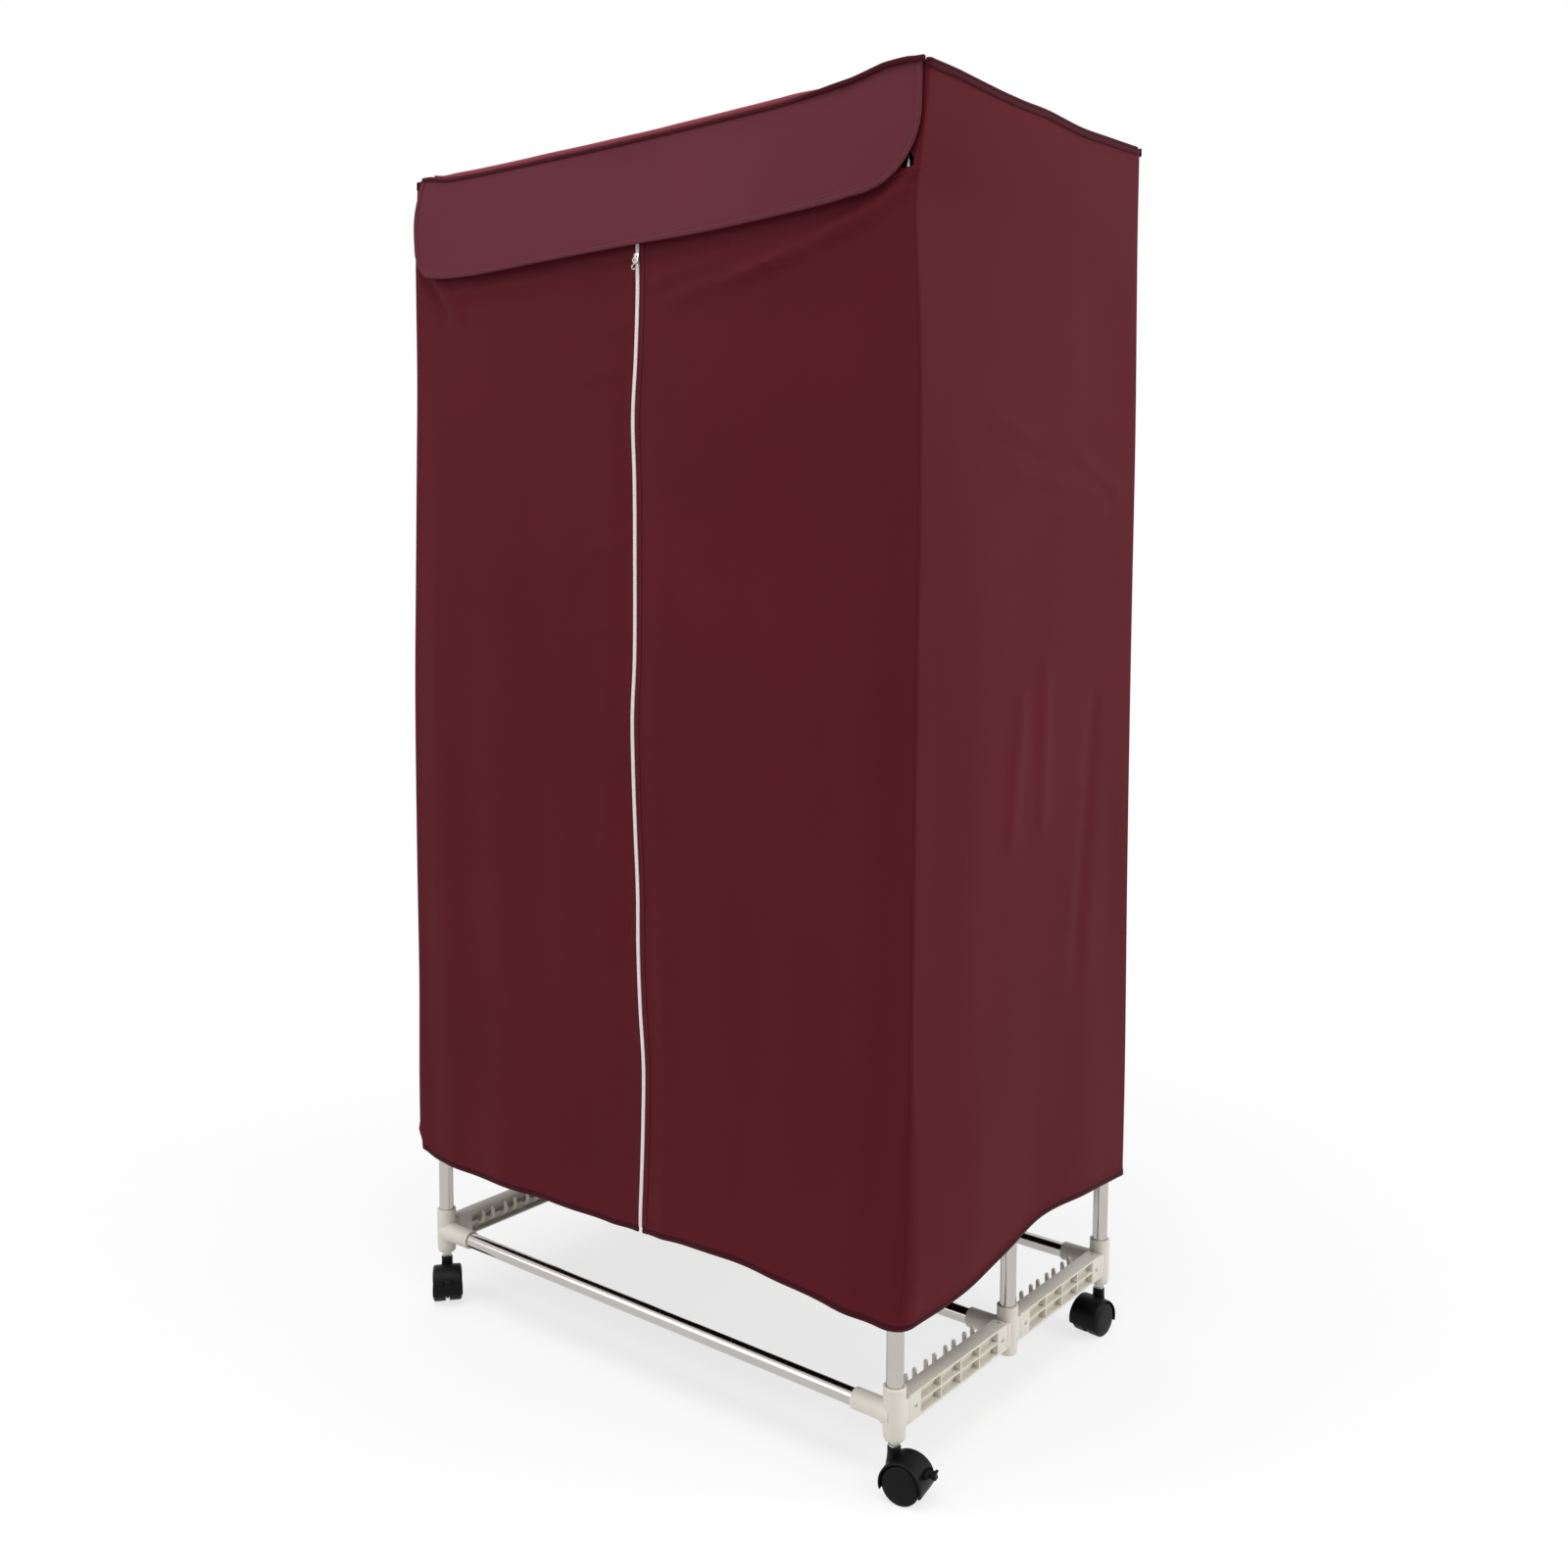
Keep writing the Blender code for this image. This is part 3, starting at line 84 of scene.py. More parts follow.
POSTS = {(row, side): middle(f"post_{row}_{side}") for row in ROWS for side in SIDES}
TUBE_RADIUS = (reach("post_front_left", 1)[1] - reach("post_front_left", 1)[0]) / 2
CENTRE_X = (POSTS["mid", "left"].x + POSTS["mid", "right"].x) / 2
CENTRE_Y = POSTS["mid", "left"].y
FRONT_Y = (reach("zip_left", 1)[0] + reach("zip_left", 1)[1]) / 2
LEAF_TOP = reach("front_leaf_left", 2)[1]
COVER_X = JOINTS["leaf_right_hinge"]["pos_m"][0] - CENTRE_X
BACK_Y = 2 * CENTRE_Y - FRONT_Y
HINGE = Vector(JOINTS["flap_hinge"]["pos_m"])
ROOF_Z = reach("top_connector_front_left", 2)[1] + 1.1 * MM
print(f"cover {2 * COVER_X:.3f} wide, {BACK_Y - FRONT_Y:.3f} deep, roof at {ROOF_Z:.3f}")

# %% [markdown]
# Shader sockets take linear light, while a listed colour is sRGB, so one function converts.
# Another adds a node: values go to its sockets, other nodes' outputs are linked to them. The rest
# are the steps that the finishes share: a noise, a relief, a ramp between two tones, a range.


# %% Helpers for materials
def linear(hex_colour):
    values = [int(hex_colour[i : i + 2], 16) / 255 for i in (1, 3, 5)]
    lit = [v / 12.92 if v <= 0.04045 else ((v + 0.055) / 1.055) ** 2.4 for v in values]
    return (*lit, 1.0)


def add_node(tree, kind, sockets=None, **settings):
    node = tree.nodes.new(kind)
    for name, value in settings.items():
        setattr(node, name, value)
    for key, value in (sockets or {}).items():
        if isinstance(value, bpy.types.NodeSocket):
            tree.links.new(value, node.inputs[key])
        else:
            node.inputs[key].default_value = value
    return node


def new_finish(name, **shader_values):
    finish = bpy.data.materials.new(name)
    finish.use_nodes = True
    shader = finish.node_tree.nodes["Principled BSDF"]
    for key, value in shader_values.items():
        shader.inputs[key.replace("_", " ")].default_value = value
    return finish, finish.node_tree, shader


def feed(tree, shader, **values):
    """Links values to the shader's sockets."""
    for key, value in values.items():
        tree.links.new(value, shader.inputs[key.replace("_", " ")])


def object_places(tree):
    return add_node(tree, "ShaderNodeTexCoord").outputs["Object"]


def noisy(tree, places, scale, detail, **more):
    sockets = {"Vector": places, "Scale": scale, "Detail": detail, **more}
    return add_node(tree, "ShaderNodeTexNoise", sockets).outputs[0]


def maths(tree, operation, first, second):
    return add_node(tree, "ShaderNodeMath", {0: first, 1: second}, operation=operation).outputs[0]


def relief(tree, height, strength, distance, **more):
    sockets = {"Height": height, "Strength": strength, "Distance": distance, **more}
    return add_node(tree, "ShaderNodeBump", sockets).outputs[0]


def stops(tree, factor, dark, light):
    """A ramp between two colours."""
    ramp = add_node(tree, "ShaderNodeMix", {"Factor": factor}, data_type="RGBA")
    ramp.inputs[6].default_value = linear(dark)
    ramp.inputs[7].default_value = linear(light)
    return ramp.outputs[2]


def remap(tree, value, low, high):
    sockets = {"Value": value, "To Min": low, "To Max": high}
    return add_node(tree, "ShaderNodeMapRange", sockets).outputs["Result"]


# %% [markdown]
# Polished stainless steel tube is drawn, then buffed along its length. It reads as a mirror with
# a faint haze, so roughness is low and varies in streaks that are long along the tube. The
# streaks come from a noise that is stretched by a Mapping node.


# %% Stainless steel
def stainless(name, stretch):
    finish, tree, shader = new_finish(name, Metallic=1.0)
    places = object_places(tree)
    drawn = add_node(tree, "ShaderNodeMapping", {"Vector": places, "Scale": stretch}).outputs[0]
    streaks = noisy(tree, drawn, 1.0, 4.0)
    tint = stops(tree, noisy(tree, places, 9.0, 3.0), "#B4AFAB", "#C6C2BE")
    feed(tree, shader, Base_Color=tint, Roughness=remap(tree, streaks, 0.1, 0.22))
    feed(tree, shader, Normal=relief(tree, streaks, 0.05, 0.1 * MM))
    return finish


# Streaks 1.5 mm wide round the tube and 60 mm long, for upright and for lying tubes
UPRIGHT_STEEL = stainless("polished stainless steel tube, upright", (660, 660, 16))
LYING_STEEL = stainless("polished stainless steel tube, lying", (16, 660, 660))
print("finishes:", UPRIGHT_STEEL.name, "and", LYING_STEEL.name)

# %% [markdown]
# The connectors and arms are injection moulded polypropylene. The tool leaves a fine spark-eroded
# grain, which the eye sees as an even, soft gloss. The ivory is a little uneven, as thick pieces
# cool slowly. The castors are moulded nylon, with the same kind of grain.

# %% Moulded plastics
# The real grain is 0.1 mm. It is drawn coarser so that it shows.
GRAIN = 0.8 * MM


def moulded(name, dark, light, roughness, gloss=0.5, depth=0.03):
    finish, tree, shader = new_finish(name, IOR=1.49, Specular_IOR_Level=gloss)
    places = object_places(tree)
    flow = noisy(tree, places, 22.0, 3.0, Distortion=0.6)
    haze = remap(tree, flow, roughness - 0.05, roughness + 0.07)
    feed(tree, shader, Base_Color=stops(tree, flow, dark, light), Roughness=haze)
    grain = noisy(tree, places, 1 / GRAIN, 2.0)
    feed(tree, shader, Normal=relief(tree, grain, 0.25, depth * MM))
    return finish


IVORY = moulded("ivory moulded polypropylene", "#CCC6B9", "#D8D3C9", 0.42)
BLACK = moulded("black moulded nylon", "#09090A", "#101011", 0.42, gloss=0.12, depth=0.05)
WHITE_ABS = moulded("white moulded ABS", "#DAD8D0", "#E6E4DE", 0.36)
DARK_PP = moulded("dark moulded polypropylene", "#232426", "#2F3032", 0.5)
print("finishes:", IVORY.name, BLACK.name, WHITE_ABS.name, DARK_PP.name, sep=", ")

# %% [markdown]
# Small metal parts: zinc-plated screws and stems are brighter and greyer than stainless steel, the
# zip's slider is nickel plated, the motor's can is plain pressed steel, and the heater's fins are
# mill-finish aluminium.


# %% Plated and bare metals
def plain_metal(name, dark, light, low, high, scale):
    finish, tree, shader = new_finish(name, Metallic=1.0)
    cloudy = noisy(tree, object_places(tree), scale, 4.0)
    tint = stops(tree, cloudy, dark, light)
    feed(tree, shader, Base_Color=tint, Roughness=remap(tree, cloudy, low, high))
    return finish


ZINC = plain_metal("zinc plated steel", "#B2B3B2", "#CDCDCB", 0.22, 0.38, 320.0)
NICKEL = plain_metal("nickel plated zinc casting", "#C4C0BA", "#DAD7D2", 0.14, 0.28, 420.0)
CAN_STEEL = plain_metal("pressed steel can", "#8F9092", "#A9AAAB", 0.3, 0.45, 60.0)
FIN_ALUMINIUM = plain_metal("mill finish aluminium fins", "#B9BABB", "#CFD0D0", 0.32, 0.48, 90.0)
print("finishes:", ZINC.name, NICKEL.name, CAN_STEEL.name, FIN_ALUMINIUM.name, sep=", ")

# %% [markdown]
# The cover is tightly woven polyester. Its threads are about 0.25 mm, too fine to see here, so
# the weave is drawn at 1.1 mm. What the eye sees is a deep burgundy with a soft sheen at grazing
# angles and broad, gentle creases. The weave follows each sheet's own UV map, which is in metres,
# so its threads stay the same size on every panel and turn with the cloth.

# %% Woven polyester
THREAD = 1.1 * MM


def woven(name, dark, light, thread=THREAD, sheen=0.035, crease=1.0):
    # Dyed fibre scatters what it reflects, so the cloth shines much less than a plain plastic
    finish, tree, shader = new_finish(name, Specular_IOR_Level=0.04, Sheen_Weight=sheen)
    shader.inputs["Sheen Roughness"].default_value = 0.4
    shader.inputs["Sheen Tint"].default_value = linear("#DCB2C8")
    places = add_node(tree, "ShaderNodeTexCoord").outputs
    # At a scale of 1, one wave of the texture is 2 pi / 20 long
    waves = {"Vector": places["UV"], "Scale": math.pi / (10 * thread)}
    waves |= {"Distortion": 0.25, "Detail": 1.0}
    warp = add_node(tree, "ShaderNodeTexWave", waves, bands_direction="X").outputs["Fac"]
    weft = add_node(tree, "ShaderNodeTexWave", waves, bands_direction="Y").outputs["Fac"]
    weave = maths(tree, "MULTIPLY", warp, weft)
    dye = noisy(tree, places["Object"], 3.0, 5.0)
    blend = maths(tree, "ADD", dye, maths(tree, "MULTIPLY", weave, 0.35))
    tint = stops(tree, maths(tree, "MULTIPLY", blend, 0.75), dark, light)
    feed(tree, shader, Base_Color=tint, Roughness=remap(tree, weave, 0.62, 0.5))
    upright = {"Vector": places["Object"], "Scale": (3.2, 3.2, 0.8)}
    creases = noisy(tree, add_node(tree, "ShaderNodeMapping", upright).outputs[0], 1.0, 2.0)
    broad = relief(tree, creases, 0.35 * crease, 14 * MM)
    feed(tree, shader, Normal=relief(tree, weave, 0.22, 0.12 * MM, Normal=broad))
    return finish


CLOTH = woven("burgundy woven polyester", "#49131A", "#5C1C24")
# The binding is darker than the cloth: painted shade along the welt under the roll, the roof's edge
# and the hems
SHADED_BINDING = woven("burgundy bias binding, painted shade", "#340D13", "#45141C", thread=0.8 * MM, crease=0.3)
# The flap and the roll above it are painted paler than the cloth: a painted sheen on the flap, a
# painted highlight on the roll
SHEEN_PAINTED_CLOTH = woven("burgundy woven polyester, painted sheen", "#54242C", "#66303A")
HIGHLIGHT_PAINTED_ROLL = woven("burgundy woven polyester, rolled edge, painted highlight", "#74363F", "#86424C")
TAPE = woven("white woven zip tape", "#D2CAC8", "#EAE5E2", thread=0.7 * MM, sheen=0.0, crease=0.1)
print("finishes:", CLOTH.name, SHADED_BINDING.name, SHEEN_PAINTED_CLOTH.name, HIGHLIGHT_PAINTED_ROLL.name, TAPE.name, sep=", ")

# %% [markdown]
# Sewing thread and the zip's coil are spun and extruded polyester. Both are small, so a slight
# change of tone from place to place is all that shows.


# %% Thread and zip coil
def filament(name, dark, light, roughness):
    finish, tree, shader = new_finish(name, IOR=1.5)
    tone = noisy(tree, object_places(tree), 260.0, 1.0)
    gloss = remap(tree, tone, roughness, roughness + 0.15)
    feed(tree, shader, Base_Color=stops(tree, tone, dark, light), Roughness=gloss)
    return finish


THREAD_FINISH = filament("burgundy polyester thread", "#2F0C12", "#471720", 0.5)
COIL = filament("white polyester zip coil", "#DDD6D3", "#F0ECE9", 0.32)
print("finishes:", THREAD_FINISH.name, COIL.name, sep=", ")

# %% [markdown]
# The pieces are made as meshes with their places in their vertices. These helpers add a turned
# shape, a box or a prism to a mesh being built, close it into an object, apply its modifiers, and
# fix it to the body that it moves with.


# %% Helpers for meshes
def turned(shape, profile, place=Matrix(), steps=40):
    """Turns (radius, height) points round +Z. A radius of zero is a pole; a ring closes without."""
    rings = []
    for radius, height in profile:
        count = steps if radius > 0 else 1
        angles = [math.tau * k / steps for k in range(count)]
        ring = [Vector((radius * math.cos(a), radius * math.sin(a), height)) for a in angles]
        rings.append([shape.verts.new(place @ point) for point in ring])
    if len(rings[0]) > 1 and len(rings[-1]) > 1:
        rings.append(rings[0])
    for lower, upper in zip(rings, rings[1:]):
        for k in range(steps):
            a, b = lower[k % len(lower)], lower[(k + 1) % len(lower)]
            c, d = upper[(k + 1) % len(upper)], upper[k % len(upper)]
            corners = [a, b, c, d]
            shape.faces.new([v for i, v in enumerate(corners) if v not in corners[:i]])


def brick(shape, corner, opposite, place=Matrix()):
    made = bmesh.ops.create_cube(shape, size=1)["verts"]
    low = Vector(map(min, corner, opposite))
    high = Vector(map(max, corner, opposite))
    for vertex in made:
        vertex.co = place @ (low + (high - low) * (vertex.co + Vector((0.5, 0.5, 0.5))))


def prism(shape, outline, low, high, place=Matrix()):
    """Pushes an outline of (x, z) points along Y."""
    rings = [[shape.verts.new(place @ Vector((x, y, z))) for x, z in outline] for y in (low, high)]
    shape.faces.new(rings[0])
    shape.faces.new(reversed(rings[1]))
    for k in range(len(outline)):
        after = (k + 1) % len(outline)
        shape.faces.new((rings[0][k], rings[0][after], rings[1][after], rings[1][k]))


def placed(name, data):
    piece = bpy.data.objects.new(name, data)
    bpy.context.scene.collection.objects.link(piece)
    return piece


def bake(piece):
    """Applies the modifiers, so that the piece is a plain mesh."""
    graph = bpy.context.evaluated_depsgraph_get()
    made = piece.evaluated_get(graph)
    mesh = bpy.data.meshes.new_from_object(made, preserve_all_data_layers=True, depsgraph=graph)
    piece.modifiers.clear()
    spent = piece.data
    piece.data = mesh
    bpy.data.meshes.remove(spent)
    return piece


def closed(name, shape, finish, bevel=0.0, sharp=40):
    """Makes the object. A bevel rounds its edges, as the mould does."""
    bmesh.ops.recalc_face_normals(shape, faces=shape.faces)
    mesh = bpy.data.meshes.new(name)
    shape.to_mesh(mesh)
    shape.free()
    mesh.materials.append(finish)
    piece = placed(name, mesh)
    if bevel:
        rounding = piece.modifiers.new("rounding", "BEVEL")
        rounding.width = bevel
        rounding.segments = 2
        rounding.limit_method = "ANGLE"
        bake(piece)
    piece.data.shade_smooth()
    piece.data.set_sharp_from_angle(angle=math.radians(sharp))
    return piece


def joined(piece, other):
    with bpy.context.temp_override(active_object=piece, selected_editable_objects=[piece, other]):
        bpy.ops.object.join()
    return piece


def dress(piece, slot, *nodes):
    """Hides the CAD nodes that a finished piece stands for. The slot is not used."""
    if nodes:
        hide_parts(*nodes)
    print(f"{piece.name}: {len(piece.data.polygons)} faces")
    return piece


def keep(piece, body, slot, *nodes):
    """Dresses a finished piece and fixes it to the body that it moves with."""
    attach(piece, body)
    return dress(piece, slot, *nodes)


def arc(radius, start, end, steps, centre=(0.0, 0.0)):
    angles = [math.radians(start + (end - start) * k / steps) for k in range(steps + 1)]
    return [(centre[0] + radius * math.cos(a), centre[1] + radius * math.sin(a)) for a in angles]


def even(low, high, count):
    return [low + (high - low) * k / count for k in range(count + 1)]


def loft(shape, rings):
    """Joins rings of vertices into a closed body, with a face at each end."""
    for low, high in zip(rings, rings[1:]):
        for i in range(len(low)):
            j = (i + 1) % len(low)
            shape.faces.new((low[i], low[j], high[j], high[i]))
    shape.faces.new(rings[0][::-1])
    shape.faces.new(rings[-1])


# %% [markdown]
# Some shapes repeat: stitches and zip teeth along a seam, screws and prongs at known places.
# Geometry Nodes copy one small mesh instead of building each by hand. The first tree walks along
# a path at an even spacing and stands a copy on each step, turned along the path and outwards.
# Real stitches wander a little, so a seeded random value turns each copy slightly.


# %% A node tree that repeats a shape along a path
def new_tree(name, entries):
    """A node tree with a mesh going in and one coming out. entries are its other inputs."""
    tree = bpy.data.node_groups.new(name, "GeometryNodeTree")
    for label, kind, default in [("Geometry", "NodeSocketGeometry", None), *entries]:
        made = tree.interface.new_socket(label, in_out="INPUT", socket_type=kind)
        if default is not None:
            made.default_value = default
    tree.interface.new_socket("Geometry", in_out="OUTPUT", socket_type="NodeSocketGeometry")
    return tree, add_node(tree, "NodeGroupInput").outputs


def end_tree(tree, copies, finish):
    """Makes the copies real, gives them their finish, and sends them out."""
    real = add_node(tree, "GeometryNodeRealizeInstances", {"Geometry": copies})
    sockets = {"Geometry": real.outputs[0], "Material": finish}
    dressed = add_node(tree, "GeometryNodeSetMaterial", sockets)
    add_node(tree, "NodeGroupOutput", {"Geometry": dressed.outputs[0]})
    return tree


def path_tree():
    entries = [
        ("Copy", "NodeSocketObject", None),
        ("Spacing", "NodeSocketFloat", 4 * MM),
        ("Outwards", "NodeSocketVector", (0.0, -1.0, 0.0)),
        ("Wander", "NodeSocketFloat", 0.0),
        ("Seed", "NodeSocketInt", 1),
        ("Finish", "NodeSocketMaterial", None),
    ]
    tree, given = new_tree("copies along a path", entries)
    curve = add_node(tree, "GeometryNodeMeshToCurve", {"Mesh": given["Geometry"]}).outputs[0]
    walk = {"Curve": curve, "Length": given["Spacing"]}
    steps = add_node(tree, "GeometryNodeCurveToPoints", walk, mode="LENGTH").outputs
    align = "FunctionNodeAlignRotationToVector"
    heading = add_node(tree, align, {"Vector": steps["Tangent"]}, axis="X").outputs[0]
    facing = {"Rotation": heading, "Vector": given["Outwards"]}
    out = add_node(tree, align, facing, axis="Z", pivot_axis="X").outputs[0]
    low = add_node(tree, "ShaderNodeMath", {0: given["Wander"], 1: -1.0}, operation="MULTIPLY")
    limits = {"Min": low.outputs[0], "Max": given["Wander"], "Seed": given["Seed"]}
    chance = add_node(tree, "FunctionNodeRandomValue", limits, data_type="FLOAT")
    lean = add_node(tree, "ShaderNodeCombineXYZ", {"Z": chance.outputs[1]})
    turn = add_node(tree, "FunctionNodeEulerToRotation", {"Euler": lean.outputs[0]})
    turns = {"Rotation": out, "Rotate By": turn.outputs[0]}
    turned_copy = add_node(tree, "FunctionNodeRotateRotation", turns, rotation_space="LOCAL")
    copy = add_node(tree, "GeometryNodeObjectInfo", {"Object": given["Copy"]}).outputs["Geometry"]
    stand = {"Points": steps["Points"], "Instance": copy, "Rotation": turned_copy.outputs[0]}
    copies = add_node(tree, "GeometryNodeInstanceOnPoints", stand).outputs[0]
    return end_tree(tree, copies, given["Finish"])


PATH_TREE = path_tree()
print("tree:", PATH_TREE.name)

# %% [markdown]
# The second tree stands a copy on every vertex of a mesh. Each vertex carries its own turn, as
# an attribute, so one mesh of points can hold all the screws or all the prongs.


# %% A node tree that repeats a shape at points
def points_tree():
    entries = [
        ("Copy", "NodeSocketObject", None),
        ("Size", "NodeSocketFloat", 1.0),
        ("Finish", "NodeSocketMaterial", None),
    ]
    tree, given = new_tree("copies at points", entries)
    attribute = "GeometryNodeInputNamedAttribute"
    turns = add_node(tree, attribute, {"Name": "turn"}, data_type="FLOAT_VECTOR")
    turn = add_node(tree, "FunctionNodeEulerToRotation", {"Euler": turns.outputs[0]}).outputs[0]
    copy = add_node(tree, "GeometryNodeObjectInfo", {"Object": given["Copy"]}).outputs["Geometry"]
    stand = {"Points": given["Geometry"], "Instance": copy, "Rotation": turn, "Scale": given["Size"]}
    copies = add_node(tree, "GeometryNodeInstanceOnPoints", stand).outputs[0]
    return end_tree(tree, copies, given["Finish"])


POINTS_TREE = points_tree()


def grown(piece, tree, values):
    """Gives the piece the tree, sets its inputs by identifier, and keeps the plain mesh."""
    growth = piece.modifiers.new(tree.name, "NODES")
    growth.node_group = tree
    for item in tree.interface.items_tree:
        if item.item_type == "SOCKET" and item.in_out == "INPUT" and item.name in values:
            growth[item.identifier] = values[item.name]
    return bake(piece)


def along(name, paths, copy, spacing, outwards, finish, wander=0.0):
    """Copies a small mesh along each path, a list of points."""
    mesh = bpy.data.meshes.new(name)
    points, edges = [], []
    for path in paths:
        edges += [(len(points) + k, len(points) + k + 1) for k in range(len(path) - 1)]
        points += path
    mesh.from_pydata(points, edges, [])
    piece = placed(name, mesh)
    values = {"Copy": copy, "Spacing": spacing, "Outwards": outwards}
    grown(piece, PATH_TREE, {**values, "Wander": wander, "Seed": 7, "Finish": finish})
    piece.data.shade_smooth()
    return piece


def at_points(name, places, copy, finish):
    """Copies a small mesh to (point, euler turn) places."""
    mesh = bpy.data.meshes.new(name)
    mesh.from_pydata([point for point, _ in places], [], [])
    turns = mesh.attributes.new("turn", "FLOAT_VECTOR", "POINT")
    turns.data.foreach_set("vector", [value for _, turn in places for value in turn])
    piece = placed(name, mesh)
    grown(piece, POINTS_TREE, {"Copy": copy, "Finish": finish})
    piece.data.shade_smooth()
    piece.data.set_sharp_from_angle(angle=math.radians(35))
    return piece


print("tree:", POINTS_TREE.name)

# %% [markdown]
# The tubes: six posts and six cross rails, 22 mm across with a thin wall. A tube could be a curve
# with a bevel, but a turned ring also gives its open ends and its inside.

# %% Posts and rails
TUBE_WALL = 0.8 * MM


def tube_piece(node, finish, lying):
    low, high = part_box(node)
    at, axis = middle(node), 0 if lying else 2
    start = at.copy()
    start[axis] = low[axis]
    length = high[axis] - low[axis]
    turn = Matrix.Rotation(math.pi / 2, 4, "Y") if lying else Matrix()
    inner, lip = TUBE_RADIUS - TUBE_WALL, 0.3 * MM
    profile = [(inner, 0), (TUBE_RADIUS - lip, 0), (TUBE_RADIUS, lip)]
    profile += [(r, length - h) for r, h in profile[::-1]]
    shape = bmesh.new()
    turned(shape, profile, Matrix.Translation(start) @ turn)
    return keep(closed(f"{node}_tube", shape, finish), "frame", "steel_tube", node)


for row in ROWS:
    for side in SIDES:
        tube_piece(f"post_{row}_{side}", UPRIGHT_STEEL, False)
    tube_piece(f"base_rail_{row}", LYING_STEEL, True)
    tube_piece(f"garment_rail_{row}", LYING_STEEL, True)

# %% [markdown]
# A connector is one moulding: an upright sleeve for the post, a socket for the cross rail, and a
# flat boss for each rack arm. Turned shapes give the two round parts, with a small flare where
# they meet, and bevelled boxes give the bosses. On the real piece the foot of the sleeve narrows.

# %% Connectors
SLEEVE_RADIUS = 14.5 * MM
SLEEVE_AXIS = 32 * MM
SOCKET_RADIUS = 13.8 * MM
SOCKET_REACH = 59 * MM
BOSS_HALF_WIDTH = 11 * MM
BOSS_HALF_HEIGHT = 17 * MM
BOSS_REACH = 16.8 * MM
SEAT_DEPTH = 30 * MM
BORE_RADIUS = TUBE_RADIUS + 0.3 * MM
# The sides, along Y, on which a connector carries a rack arm
ARM_SIDES = {"front": (1,), "mid": (-1, 1), "rear": (-1,)}


def connector_piece(tier, row, side):
    node = f"{tier}_connector_{row}_{side}"
    low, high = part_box(node)
    post = POSTS[row, side]
    height = high.z - low.z
    place = Matrix.Translation((post.x, post.y, low.z))
    if tier == "top":
        place = Matrix.Translation((post.x, post.y, high.z)) @ Matrix.Scale(-1, 4, (0, 0, 1))
    shape = bmesh.new()
    radius, lip = SLEEVE_RADIUS, 0.7 * MM
    sleeve = [
        (0, 0),
        (radius - 3.0 * MM, 0),
        (radius - 1.8 * MM, 0.6 * MM),
        (radius - 1.0 * MM, 2 * MM),
        (radius - 0.4 * MM, 6 * MM),
        (radius, 12 * MM),
        (radius, height - lip),
        (radius - lip, height),
        (BORE_RADIUS, height),
        (BORE_RADIUS, height - SEAT_DEPTH),
        (0, height - SEAT_DEPTH),
    ]
    turned(shape, sleeve, place)
    inward = -SIDES[side]
    lying = Matrix.Translation((0, 0, SLEEVE_AXIS)) @ Matrix.Rotation(inward * math.pi / 2, 4, "Y")
    radius = SOCKET_RADIUS
    socket = [
        (0, 0),
        (radius + 2.4 * MM, 0),
        (radius + 2.4 * MM, radius - 1 * MM),
        (radius + 0.9 * MM, radius + 3 * MM),
        (radius, radius + 9 * MM),
        (radius - 0.2 * MM, SOCKET_REACH - lip),
        (radius - lip, SOCKET_REACH),
        (BORE_RADIUS, SOCKET_REACH),
        (BORE_RADIUS, SOCKET_REACH - SEAT_DEPTH),
        (0, SOCKET_REACH - SEAT_DEPTH),
    ]
    turned(shape, socket, place @ lying)
    piece = closed(f"{node}_moulding", shape, IVORY)
    bosses = bmesh.new()
    for along_y in ARM_SIDES[row]:
        corner = (-BOSS_HALF_WIDTH, 2 * MM * along_y, SLEEVE_AXIS - BOSS_HALF_HEIGHT)
        opposite = (BOSS_HALF_WIDTH, BOSS_REACH * along_y, SLEEVE_AXIS + BOSS_HALF_HEIGHT)
        brick(bosses, corner, opposite, place)
    boss = closed(f"{node}_boss", bosses, IVORY, bevel=0.8 * MM)
    return keep(joined(piece, boss), "frame", "ivory_plastic", node)


for row in ROWS:
    for side in SIDES:
        connector_piece("base", row, side)
        connector_piece("top", row, side)

# %% [markdown]
# A rack arm is a ribbed bar: flanges above and below, a web, a middle rib, and thin walls that
# split the outer face into cells. Ribs keep a moulding stiff without thick, sinking walls. Each
# bar is boxes with rounded edges, at the CAD sizes. The prongs come next, from the node tree.

# %% Rack arm bars
ARM_WIDTH = 22 * MM
ARM_SKIN = 2.8 * MM
ARM_RIB = 2.6 * MM
ARM_TAB = 26 * MM
ARM_CELLS = 4
PAIR_SPACING = 20 * MM
ARMS = [(tier, row, side) for tier in ("base", "top") for row in ("front", "rear") for side in SIDES]


def arm_frame(tier, row, side):
    """The bar's middle, its half sizes and its outward sign."""
    low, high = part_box(f"{tier}_arm_{row}_{side}")
    out = SIDES[side]
    outer_x = high.x if out > 0 else low.x
    at = Vector((outer_x - out * ARM_WIDTH / 2, (low.y + high.y) / 2, (low.z + high.z) / 2))
    return at, (high.y - low.y) / 2, (high.z - low.z) / 2, out


